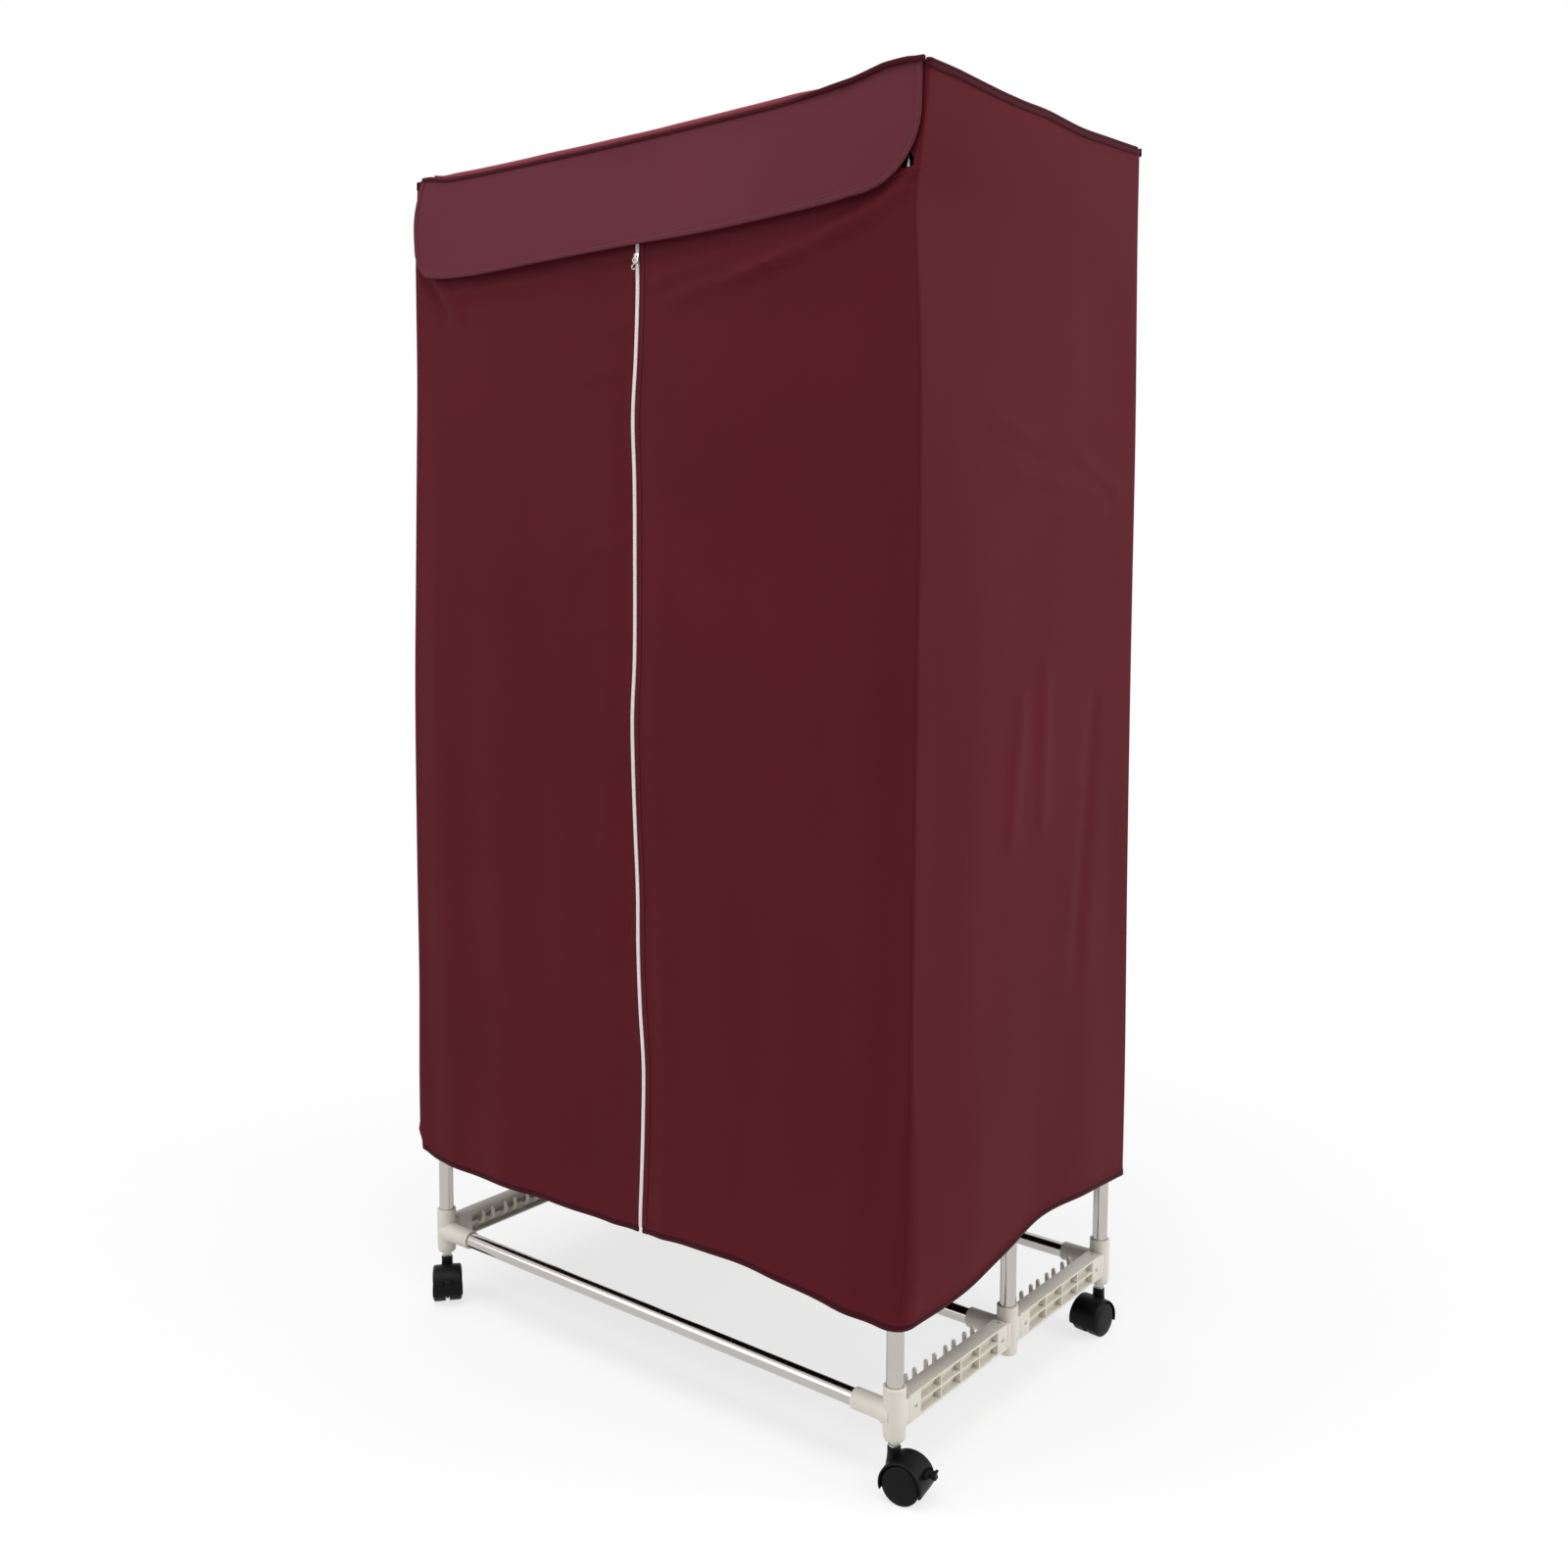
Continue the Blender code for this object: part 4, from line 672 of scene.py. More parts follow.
def arm_piece(tier, row, side):
    at, half_length, half_height, out = arm_frame(tier, row, side)
    place = Matrix.Translation(at)
    half_width, skin, rib = ARM_WIDTH / 2, ARM_SKIN, ARM_RIB / 2
    inside = half_length - ARM_TAB
    shape = bmesh.new()
    for up in (-1, 1):
        brick(
            shape,
            (-half_width, -half_length + 0.1 * MM, up * half_height),
            (half_width, half_length - 0.1 * MM, up * (half_height - skin)),
            place,
        )
    # Each wall ends a little short of the flanges, so that no two faces share one plane
    brick(shape, (-half_width + 0.3 * MM, -inside, -rib), (half_width - 0.3 * MM, inside, rib), place)
    wall = half_height - skin / 2
    brick(shape, (-skin / 2, -inside, -wall), (skin / 2, inside, wall), place)
    tab = half_width - 0.2 * MM
    for end in (-1, 1):
        brick(shape, (-tab, end * half_length, -wall), (tab, end * inside, wall), place)
    pitch = 2 * inside / ARM_CELLS
    for k in range(1, ARM_CELLS):
        y = -inside + k * pitch
        outer = out * (half_width - 0.15 * MM)
        brick(shape, (0, y - rib, -wall), (outer, y + rib, wall), place)
    piece = closed(f"{tier}_arm_{row}_{side}_bar", shape, IVORY, bevel=0.45 * MM)
    return keep(piece, "frame", "ivory_plastic", f"{tier}_arm_{row}_{side}")


for arm in ARMS:
    arm_piece(*arm)

# %% [markdown]
# Hanger hooks and thin rods sit behind the curled prongs. One prong is a thick hook, drawn as
# two arcs and a rounded tip. The tree stands a pair of them in every cell of every bar.

# %% Curled prongs
PRONG_CURL = 10.4 * MM
PRONG_WIDTH = 5.2 * MM
PRONG_TIP = 11.2 * MM
PRONG_THICKNESS = 4.0 * MM


def prong_pattern():
    near, far = PRONG_CURL - PRONG_WIDTH / 2, PRONG_CURL + PRONG_WIDTH / 2
    centre = (0.0, near)
    outline = [(-3 * MM, near - far), *arc(far, -90, 0, 8, centre)]
    tip = (PRONG_CURL, near + PRONG_TIP - PRONG_WIDTH / 2)
    outline += arc(PRONG_WIDTH / 2, 0, 180, 8, tip)
    outline += [*arc(near, 0, -90, 8, centre), (-3 * MM, 0.0)]
    shape = bmesh.new()
    prism(shape, outline, -PRONG_THICKNESS / 2, PRONG_THICKNESS / 2)
    return closed("prong_pattern", shape, IVORY, bevel=0.5 * MM)


places = []
for arm in ARMS:
    at, half_length, _, out = arm_frame(*arm)
    pitch = 2 * (half_length - ARM_TAB) / ARM_CELLS
    for k in range(ARM_CELLS):
        for one in (-1, 1):
            y = (k + 0.5 - ARM_CELLS / 2) * pitch + one * PAIR_SPACING / 2
            point = at + Vector((-out * ARM_WIDTH / 2, y, 0))
            places.append((point, (0, 0, math.pi if out > 0 else 0)))
PRONG = prong_pattern()
keep(at_points("rack_prongs", places, PRONG, IVORY), "frame", "ivory_plastic")
bpy.data.objects.remove(PRONG)

# %% [markdown]
# A cross-head screw holds each end of a rack arm to its connector. Its head is a low dome with
# two crossed slots. A small dark disc in the top flange is painted shade: it stands for the
# inside of the second screw hole, seen from above.

# %% Screws
SCREW_RADIUS = 3.2 * MM
# How far a screw hole lies from the end of the rack arm, and the grille's screws from its edges
HOLE_INSET = 7 * MM
GRILLE_INSET = (14 * MM, 12 * MM)


def screw_pattern():
    shape = bmesh.new()
    r = SCREW_RADIUS
    dome = [(0, -0.4 * MM), (r, -0.4 * MM), (r, 0.3 * MM), (0.75 * r, 0.8 * MM)]
    dome += [(0.4 * r, 0.95 * MM), (0, 0.95 * MM)]
    turned(shape, dome, steps=16)
    head = closed("screw_pattern", shape, ZINC)
    cross = bmesh.new()
    for width, length in ((0.35 * r, 1.2 * r), (1.2 * r, 0.35 * r)):
        brick(cross, (-width / 2, -length / 2, 0.25 * MM), (width / 2, length / 2, 2 * MM))
    cutter = closed("cross_slot", cross, ZINC)
    cut = head.modifiers.new("cross", "BOOLEAN")
    cut.operation, cut.object, cut.use_self = "DIFFERENCE", cutter, True
    bake(head)
    bpy.data.objects.remove(cutter)
    return head


SCREW = screw_pattern()
places = []
for arm in ARMS:
    at, half_length, _, out = arm_frame(*arm)
    for end in (-1, 1):
        point = at + Vector((out * ARM_WIDTH / 2, end * (half_length - 0.55 * ARM_TAB), 0))
        places.append((point, (0, out * math.pi / 2, 0)))
grille_low, grille_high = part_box("heater_grille")
for x in (grille_low.x + GRILLE_INSET[0], grille_high.x - GRILLE_INSET[0]):
    for y in (grille_low.y + GRILLE_INSET[1], grille_high.y - GRILLE_INSET[1]):
        places.append((Vector((x, y, grille_high.z)), (0, 0, 0)))
keep(at_points("frame_screws", places, SCREW, ZINC), "frame", "plated_metal")
bpy.data.objects.remove(SCREW)


# A small dimpled dark disc: painted shade for the inside of a screw hole
def hole_pattern():
    shape = bmesh.new()
    shade_disc = [(0, -1.0), (1.7, -1.0), (1.7, 0.12), (1.4, 0.2), (0, -0.4)]
    turned(shape, [(r * MM, h * MM) for r, h in shade_disc], steps=14)
    return closed("hole_pattern", shape, DARK_PP)


places = []
for arm in ARMS:
    at, half_length, half_height, _ = arm_frame(*arm)
    for end in (-1, 1):
        places.append((at + Vector((0, end * (half_length - HOLE_INSET), half_height)), (0, 0, 0)))
HOLE_SHADE = hole_pattern()
keep(at_points("screw_hole_plugs", places, HOLE_SHADE, DARK_PP), "frame", "dark_plastic")
bpy.data.objects.remove(HOLE_SHADE)

# %% [markdown]
# A twin-wheel castor has a hood that covers both wheels, a web between them and a neck with a
# zinc-plated stem. The hood is one section across the castor, carried round the axle. It is a
# little narrower on top, and its edges are rounded well, since a nylon castor has no sharp corner.
# Each castor is built in its own frame and turned as its joints say.

# %% Castors
WHEEL_RADIUS = 25 * MM
HOOD_INSIDE = 26.4 * MM
HOOD_WALL = 2.6 * MM
HOOD_HALF_WIDTH = 22.9 * MM
HOOD_TAPER = 2.6 * MM
WEB_HALF = 2.4 * MM
WEB_RADIUS = 21.5 * MM
NECK_RADIUS = 8.5 * MM
NECK_TOP = 63.5 * MM
STEM_RADIUS = 5.5 * MM
FERRULE_RADIUS = 7.4 * MM


def castor_place(row, side):
    """The castor's own frame on the floor under its post: X points along its trail."""
    swivel = JOINTS[f"swivel_{row}_{side}"]["pos_m"]
    axle = JOINTS[f"roll_{row}_{side}"]
    turn = math.atan2(-axle["axis"][0], axle["axis"][1])
    trail = math.hypot(axle["pos_m"][0] - swivel[0], axle["pos_m"][1] - swivel[1])
    return Matrix.Translation((swivel[0], swivel[1], 0)) @ Matrix.Rotation(turn, 4, "Z"), trail


def hood_shell(shape, axle, place):
    """The hood's wall, as rings of one rounded section carried round the axle."""
    outside = HOOD_INSIDE + HOOD_WALL
    rings = []
    for angle in even(math.radians(-16), math.radians(198), 48):
        half = HOOD_HALF_WIDTH - HOOD_TAPER * max(0.0, math.sin(angle)) ** 2
        wall = [(HOOD_INSIDE, half), (outside - 1.7 * MM, half), (outside - 0.8 * MM, half - 0.5 * MM)]
        wall += [(outside - 0.2 * MM, half - 2.0 * MM), (outside, half - 5.0 * MM)]
        wall += [(radius, -across) for radius, across in wall[::-1]]
        ring = []
        for radius, across in wall:
            x, z = axle[0] + radius * math.cos(angle), axle[1] + radius * math.sin(angle)
            ring.append(shape.verts.new(place @ Vector((x, across, z))))
        rings.append(ring)
    loft(shape, rings)


def castor_pieces(row, side):
    place, trail = castor_place(row, side)
    axle = (trail, WHEEL_RADIUS)
    hood = bmesh.new()
    hood_shell(hood, axle, place)
    saddle = HOOD_INSIDE + HOOD_WALL / 2
    web = arc(WEB_RADIUS, 180, 360, 24, axle) + arc(saddle, 0, 180, 32, axle)
    prism(hood, web, -WEB_HALF, WEB_HALF, place)
    piece = closed(f"castor_hood_{row}_{side}", hood, BLACK, bevel=0.3 * MM)
    neck = bmesh.new()
    profile = [(r * MM, 0) for r in (0, 2.5, 5, 7.5, 9.5, 11)]
    profile += [
        (NECK_RADIUS + 1.6 * MM, 42 * MM),
        (NECK_RADIUS + 0.5 * MM, 48 * MM),
        (NECK_RADIUS, 55 * MM),
        (NECK_RADIUS, NECK_TOP - 1 * MM),
        (NECK_RADIUS - 1 * MM, NECK_TOP),
        (0, NECK_TOP),
    ]
    turned(neck, profile)
    # The neck's foot takes the hood's curve, so that it stays inside the hood's wall
    for vertex in neck.verts:
        away = vertex.co.x - trail
        vertex.co.z = max(vertex.co.z, WHEEL_RADIUS + math.sqrt(saddle * saddle - away * away))
        vertex.co = place @ vertex.co
    collar = closed(f"castor_neck_{row}_{side}", neck, BLACK)
    piece = joined(piece, collar)
    keep(piece, f"castor_{row}_{side}", "castor_plastic", f"castor_swivel_{row}_{side}")
    stem = bmesh.new()
    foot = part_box(f"base_connector_{row}_{side}")[0].z
    profile = [
        (0, NECK_TOP - 1 * MM),
        (FERRULE_RADIUS - 0.8 * MM, NECK_TOP - 1 * MM),
        (FERRULE_RADIUS, NECK_TOP + 0.6 * MM),
        (FERRULE_RADIUS, NECK_TOP + 2.6 * MM),
        (STEM_RADIUS + 0.4 * MM, NECK_TOP + 3.0 * MM),
        (STEM_RADIUS + 0.4 * MM, foot - 2.0 * MM),
        (FERRULE_RADIUS - 0.4 * MM, foot - 1.6 * MM),
        (FERRULE_RADIUS - 0.4 * MM, foot - 0.2 * MM),
        (STEM_RADIUS, foot),
        (STEM_RADIUS, foot + 9 * MM),
        (0, foot + 9 * MM),
    ]
    turned(stem, profile, place, steps=32)
    keep(closed(f"castor_stem_{row}_{side}", stem, ZINC), f"castor_{row}_{side}", "plated_metal")
    wheels = bmesh.new()
    near, far = WEB_HALF + 0.4 * MM, HOOD_HALF_WIDTH - 0.6 * MM
    tread = WHEEL_RADIUS
    profile = [
        (0, near),
        (tread - 1 * MM, near),
        (tread, near + 1 * MM),
        (tread, far - 4.0 * MM),
        (tread - 0.3 * MM, far - 3.0 * MM),
        (tread - 1.1 * MM, far - 1.9 * MM),
        (tread - 2.4 * MM, far - 1.0 * MM),
        (tread - 4.5 * MM, far - 0.35 * MM),
        (0.5 * tread, far - 0.1 * MM),
        (0, far),
    ]
    hub = place @ Matrix.Translation((trail, 0, WHEEL_RADIUS))
    for out in (-1, 1):
        turned(wheels, profile, hub @ Matrix.Rotation(-out * math.pi / 2, 4, "X"), steps=64)
    reach_in = near + 1 * MM
    axle_bar = [(0, -reach_in), (3 * MM, -reach_in), (3 * MM, reach_in), (0, reach_in)]
    turned(wheels, axle_bar, hub @ Matrix.Rotation(math.pi / 2, 4, "X"), steps=24)
    piece = closed(f"castor_wheel_pair_{row}_{side}", wheels, BLACK)
    keep(piece, f"wheels_{row}_{side}", "castor_wheel", f"castor_wheels_{row}_{side}")


for row in ("front", "rear"):
    for side in SIDES:
        castor_pieces(row, side)

# %% [markdown]
# The brake lever is a small rocker behind the hood. Seen from the side it spreads like a fish's
# tail: a toe presses one half down and lifts the other. Two lugs on the hood carry its pin.

# %% Brake levers
LEVER_HALF_WIDTH = 6 * MM
# The fish's tail as (x, z) in millimetres from the pin
LEVER_TAIL = [(-3, -2.5), (4, -3), (8.5, -5.5), (11.5, -4.5), (10.2, 0)]
LEVER_TAIL += [(12.2, 5.2), (9.5, 5.8), (5.5, 2.6), (-3, 2.5)]


def brake_lever(side):
    place, trail = castor_place("front", side)
    pivot = Vector(JOINTS[f"brake_{side}_press"]["pos_m"])
    hinge = Matrix.Translation(pivot) @ place.to_3x3().to_4x4()
    shape = bmesh.new()
    tail = [(x * MM, z * MM) for x, z in LEVER_TAIL]
    blade = LEVER_HALF_WIDTH - 1.6 * MM
    prism(shape, tail, -blade, blade, hinge)
    barrel = LEVER_HALF_WIDTH - 0.3 * MM
    prism(shape, arc(2.9 * MM, 0, 345, 23), -barrel, barrel, hinge)
    piece = closed(f"castor_brake_rocker_{side}", shape, BLACK, bevel=0.5 * MM)
    keep(piece, f"brake_{side}", "castor_plastic", f"castor_brake_{side}")
    lugs = bmesh.new()
    away = pivot - place @ Vector((trail, 0, WHEEL_RADIUS))
    tilt = -math.asin(away.z / away.length)
    for out in (-1, 1):
        corner = (-8 * MM, out * (LEVER_HALF_WIDTH + 0.4 * MM), -3.4 * MM)
        opposite = (3.2 * MM, out * (LEVER_HALF_WIDTH + 3.2 * MM), 3.4 * MM)
        brick(lugs, corner, opposite, hinge @ Matrix.Rotation(tilt, 4, "Y"))
    pin = LEVER_HALF_WIDTH + 1 * MM
    prism(lugs, arc(1.1 * MM, 0, 330, 11), -pin, pin, hinge)
    piece = closed(f"castor_brake_lugs_{side}", lugs, BLACK, bevel=0.4 * MM)
    keep(piece, f"castor_front_{side}", "castor_plastic")


for side in SIDES:
    brake_lever(side)

# %% [markdown]
# The cover hangs from the top frame, so its panels are nearly flat, with broad, shallow folds
# that grow towards the hem, and its corners pull out a little between the posts. A simulation
# would give folds of its own choice. Here the few lines that the eye reads, such as the hem, the
# corner and the zip, are given as short lists of points with smooth curves between them.

# %% Lines that shape the cover
CLOTH_THICK = 0.9 * MM
# A hem's rows from its edge up, as (height, thickness) in millimetres. The thin row is its seam.
HEM_ROWS = [(0.0, 1.2), (0.6, 2.6), (3.0, 2.8), (8.0, 2.6), (9.2, 1.3), (10.6, 2.4), (11.6, 0.9)]
HEM_SEAM = 4


def follow(points, at):
    """Reads a smooth curve through (place, value) points."""
    if at <= points[0][0]:
        return points[0][1]
    if at >= points[-1][0]:
        return points[-1][1]
    last = len(points) - 1
    k = max(i for i in range(last) if points[i][0] <= at)
    (a, p), (b, q) = points[k], points[k + 1]
    before, after = points[max(k - 1, 0)], points[min(k + 2, last)]
    start, end = (q - before[1]) / (b - before[0]), (after[1] - p) / (after[0] - a)
    t, run = (at - a) / (b - a), b - a
    held = (1 + 2 * t) * (1 - t) ** 2 * p + t * t * (3 - 2 * t) * q
    return held + run * (t * (1 - t) ** 2 * start + t * t * (t - 1) * end)


def smooth(share):
    """Rises from 0 to 1 with a soft start and end, as its share goes from 0 to 1."""
    share = min(1.0, max(0.0, share))
    return share * share * (3 - 2 * share)


# All lengths here are in metres. First the hem's height across the front and along a side, by the
# distance from the cover's middle.
FRONT_HEM = [(-0.45, 0.232), (-0.42, 0.224), (-0.30, 0.221), (-0.17, 0.223), (0.015, 0.227)]
FRONT_HEM += [(0.10, 0.233), (0.174, 0.237), (0.264, 0.231), (0.33, 0.225), (0.39, 0.219)]
FRONT_HEM += [(0.44, 0.214)]
SIDE_HEM = [(-0.29, 0.214), (-0.20, 0.216), (-0.13, 0.223), (-0.057, 0.235)]
SIDE_HEM += [(0.05, 0.254), (0.165, 0.248), (0.30, 0.236)]
# How far each front corner and the back stand out from the flat cover, by height
LEFT_OUT = [(0.20, 0.008), (0.235, 0.013), (0.26, 0.018), (0.34, 0.019), (0.5, 0.016), (0.7, 0.017)]
LEFT_OUT += [(0.95, 0.016), (1.11, 0.011), (1.29, 0.005), (1.42, 0.001), (1.62, 0.0), (1.7, -0.006)]
RIGHT_OUT = [(0.20, -0.004), (0.235, 0.003), (0.3, 0.0095), (0.6, 0.012), (0.98, 0.013), (1.3, 0.0145)]
RIGHT_OUT += [(1.42, 0.011), (1.52, 0.005), (1.57, 0.005), (1.62, 0.012), (1.66, 0.017), (1.70, 0.021)]
CORNER_OUT = {"left": LEFT_OUT, "right": RIGHT_OUT}
# The back stays outside the rear posts and the top connectors, which it is drawn over
BACK_OUT = [(0.2, 0.009), (0.4, 0.009), (0.7, 0.002), (1.0, -0.002), (1.3, -0.003), (1.6, -0.002)]
BACK_OUT += [(1.7, -0.001)]
# How far the zip runs to the right of the middle, by height
ZIP_WANDER = [(0.2, 0.0125), (0.253, 0.0125), (0.304, 0.015), (0.384, 0.018), (0.463, 0.019)]
ZIP_WANDER += [(0.543, 0.013), (0.622, 0.0095), (0.702, 0.009), (0.781, 0.005), (0.861, 0.0015)]
ZIP_WANDER += [(0.94, 0.0), (1.02, 0.0045), (1.18, 0.0055), (1.258, 0.005), (1.338, 0.0025)]
ZIP_WANDER += [(1.417, 0.008), (1.497, 0.0115), (1.544, 0.0115)]
# How far the roof's edge rises towards the rear
ROOF_RISE = [(-0.30, 0.0), (-0.15, 0.001), (-0.07, 0.004), (0.0, 0.009), (0.1, 0.011)]
ROOF_RISE += [(0.19, 0.018), (0.30, 0.026)]
# How far the roof's front edge hangs below the hinge line between the two corner connectors
FRONT_SAG = [(-0.45, 0.0), (-0.405, 0.0), (-0.375, 0.006), (-0.35, 0.0082), (-0.27, 0.0105)]
FRONT_SAG += [(-0.10, 0.013), (0.0, 0.014), (0.18, 0.0135), (0.24, 0.013), (0.30, 0.0115)]
FRONT_SAG += [(0.355, 0.009), (0.385, 0.004), (0.405, 0.0005), (0.45, 0.0)]
# The height that counts as the hem's for the folds, and the one at which its places are read
HEM_LEVEL = 0.22
NEAR_HEM = 0.24


def ridged(folds, share):
    """The height of a panel's folds. Each is a place across the panel, a width and a depth."""
    return sum(depth * math.exp(-(((share - at) / width) ** 2)) for at, width, depth in folds)


def below(top, height):
    """How far down a height is, from the panel's top to its hem."""
    return (top - height) / (top - HEM_LEVEL)


def corner_radius(side, height):
    """The corners are sharp under the roof and round at the hem, the right one most."""
    return (4 + (8 if side == "left" else 25) * smooth((0.62 - height) / 0.42)) * MM


def corner_out(side, height):
    """How far a front corner stands out. CORNER_OUT follows what the camera sees: on the left that
    is the corner's round flank, so the corner itself lies further out, most of all at the hem."""
    out = follow(CORNER_OUT[side], height)
    if side == "left":
        flare = 5 * MM * math.exp(-(((height - 0.262) / 0.010) ** 2))
        out += 0.65 * corner_radius(side, height) + flare
    return out


def corner_x(side, height):
    return CENTRE_X + SIDES[side] * (COVER_X + corner_out(side, height))


def back_y(height):
    return BACK_Y + follow(BACK_OUT, height)


def wander(x, y, height, seed, size):
    """A gentle unevenness with no grain of its own."""
    place = Vector((x * 3.2 + seed, y * 3.2 - seed, height * 1.4))
    return size * (noise.noise(place) + 0.35 * noise.noise(place * 2.7))


def creased(creases, x, height):
    """The height of the creases at a place. Each is a line, a width and a depth in millimetres."""
    total = 0.0
    for x0, z0, x1, z1, width, depth in creases:
        run_x, run_z = x1 - x0, z1 - z0
        length = math.hypot(run_x, run_z)
        share = ((x - x0) * run_x + (height - z0) * run_z) / length**2
        off = ((x - x0) * run_z - (height - z0) * run_x) / length
        if -0.3 < share < 1.3 and abs(off) < 3 * width * MM:
            fade = smooth((share + 0.3) / 0.3) * smooth((1.3 - share) / 0.3)
            total += depth * fade * math.exp(-((off / (width * MM)) ** 2))
    return total


for side in SIDES:
    radii = [corner_radius(side, height) / MM for height in (LEAF_TOP, HEM_LEVEL)]
    print(f"{side} corner: radius {radii[0]:.0f} mm under the roof, {radii[1]:.0f} mm at the hem")

# %% [markdown]
# A panel is a grid of points with a thickness, closed round its edges. Its UV map is measured
# along the cloth in metres, which keeps the weave even over folds and corners. Rows near the hem
# carry extra thickness: that is the cloth turned up twice and stitched. Below its seam the hem is
# bound, so its faces get the binding's finish.


# %% A panel of cloth
UPWARDS = Vector((0, 0, 1))
FORWARDS = Vector((0, -1, 0))


def panel(name, rows, thick, finish, bound=0.0):
    """rows of middle points, from the hem up. thick(row, column) gives the thickness. The binding
    covers the cloth up to the height bound."""
    shape = bmesh.new()
    layer = shape.loops.layers.uv.new("UVMap")
    places, grids = {}, []
    last_row, last = len(rows) - 1, len(rows[0]) - 1
    centre = last // 2
    for face in (1, -1):
        grid, up = [], 0.0
        for j, row in enumerate(rows):
            lower, upper = rows[max(j - 1, 0)], rows[min(j + 1, last_row)]
            up += (row[centre] - lower[centre]).length
            across, line = 0.0, []
            for i, point in enumerate(row):
                before, after = row[max(i - 1, 0)], row[min(i + 1, last)]
                across += (point - before).length
                normal = (after - before).cross(upper[i] - lower[i]).normalized()
                vertex = shape.verts.new(point + normal * (face * thick(j, i) / 2))
                places[vertex] = (across, up)
                line.append(vertex)
            grid.append(line)
        grids.append(grid)
        for j in range(last_row):
            for i in range(last):
                corners = (grid[j][i], grid[j][i + 1], grid[j + 1][i + 1], grid[j + 1][i])
                shape.faces.new(corners if face > 0 else corners[::-1])
    edges = []
    for grid in grids:
        edge = grid[0][:-1] + [line[-1] for line in grid[:-1]]
        edges.append(edge + grid[-1][:0:-1] + [line[0] for line in grid[:0:-1]])
    for k in range(len(edges[0])):
        after = (k + 1) % len(edges[0])
        shape.faces.new((edges[0][k], edges[1][k], edges[1][after], edges[0][after]))
    for face in shape.faces:
        face.material_index = int(all(places[vertex][1] < bound for vertex in face.verts))
        for loop in face.loops:
            loop[layer].uv = places[loop.vert]
    made = closed(name, shape, finish, sharp=50)
    if bound:
        # The bound faces take the binding's painted shade
        made.data.materials.append(SHADED_BINDING)
    return made


def plain(row, column):
    return CLOTH_THICK


def heights(bottom, top, count, top_band=False):
    """Heights of a panel's rows. The first rows, and the last with a top band, belong to a hem."""
    hem = [height * MM for height, _ in HEM_ROWS]
    rows = [bottom + step for step in hem]
    end = top - hem[-1] if top_band else top
    rows += [rows[-1] + (end - rows[-1]) * k / count for k in range(1, count + 1)]
    if top_band:
        rows += [top - step for step in hem[-2::-1]]
    return rows


def hemmed(row, column):
    return HEM_ROWS[row][1] * MM if row < len(HEM_ROWS) else CLOTH_THICK


def swept(name, path, section, finish, up, sizes=None):
    """Sweeps a section of (across, up) millimetres along a path."""
    shape = bmesh.new()
    layer = shape.loops.layers.uv.new("UVMap")
    rings, places, run = [], {}, 0.0
    for k, point in enumerate(path):
        after, before = path[min(k + 1, len(path) - 1)], path[max(k - 1, 0)]
        run += (point - before).length
        along_path = (after - before).normalized()
        across = along_path.cross(up).normalized()
        rise = across.cross(along_path)
        size = (sizes[k] if sizes else 1.0) * MM
        ring = []
        for i, (a, b) in enumerate(section):
            vertex = shape.verts.new(point + (across * a + rise * b) * size)
            places[vertex] = (run, i * MM)
            ring.append(vertex)
        rings.append(ring)
    loft(shape, rings)
    for face in shape.faces:
        for loop in face.loops:
            loop[layer].uv = places[loop.vert]
    return closed(name, shape, finish, sharp=50)


HEM_BOUND = (HEM_ROWS[HEM_SEAM][0] + 0.3) * MM
print("hem:", HEM_ROWS[-1][0], "mm high, bound up to", HEM_ROWS[HEM_SEAM][0], "mm")

# %% [markdown]
# Each front leaf runs from the side, round the corner, to the zip. Beside the zip its edge is
# folded back and stitched, which shows as a crisp line. Below the flap the cloth is drawn into
# short creases by the corner and by the zip's seam.

# %% Front leaves
ARC_COLUMNS = 8
LEAF_COLUMNS = 82
LEAF_ROWS = 150
ZIP_EDGE = 4.1 * MM
# The last columns' distances from the edge at the zip, round the fold
ZIP_FOLD = (12.0, 9.0, 8.4, 4.0, 0.0)
ZIP_FOLD_THICK = 2.8 * MM
LEAF_FOLDS = {
    "left": [(0.16, 0.07, 3.0), (0.42, 0.10, 3.5), (0.70, 0.09, 3.0), (0.90, 0.04, 1.8)],
    "right": [(0.14, 0.07, 3.5), (0.40, 0.09, 2.2), (0.66, 0.11, 3.6), (0.90, 0.04, 1.6)],
}
# Creases as lines (x, z, x, z) from the cover's middle, with a width and a depth
LEAF_CREASES = {
    "left": [
        (-0.415, 1.561, -0.376, 1.504, 8, -5.0),
        (-0.393, 1.559, -0.343, 1.508, 8, 4.5),
        (-0.343, 1.536, -0.157, 1.536, 8, 3.6),
        (-0.072, 1.457, -0.008, 1.461, 5, 1.2),
        (-0.082, 1.397, -0.008, 1.399, 5, 1.3),
        (-0.060, 1.284, -0.008, 1.284, 5, 1.1),
        (-0.074, 1.165, -0.010, 1.175, 5, 1.3),
        (-0.084, 1.058, -0.012, 1.052, 5, 1.2),
    ],
    "right": [
        (0.054, 1.512, 0.162, 1.527, 9, 3.4),
        (0.096, 1.488, 0.255, 1.516, 9, 3.8),
        (0.194, 1.502, 0.372, 1.543, 9, 4.0),
        (0.329, 1.537, 0.433, 1.573, 9, 3.8),
    ],
}


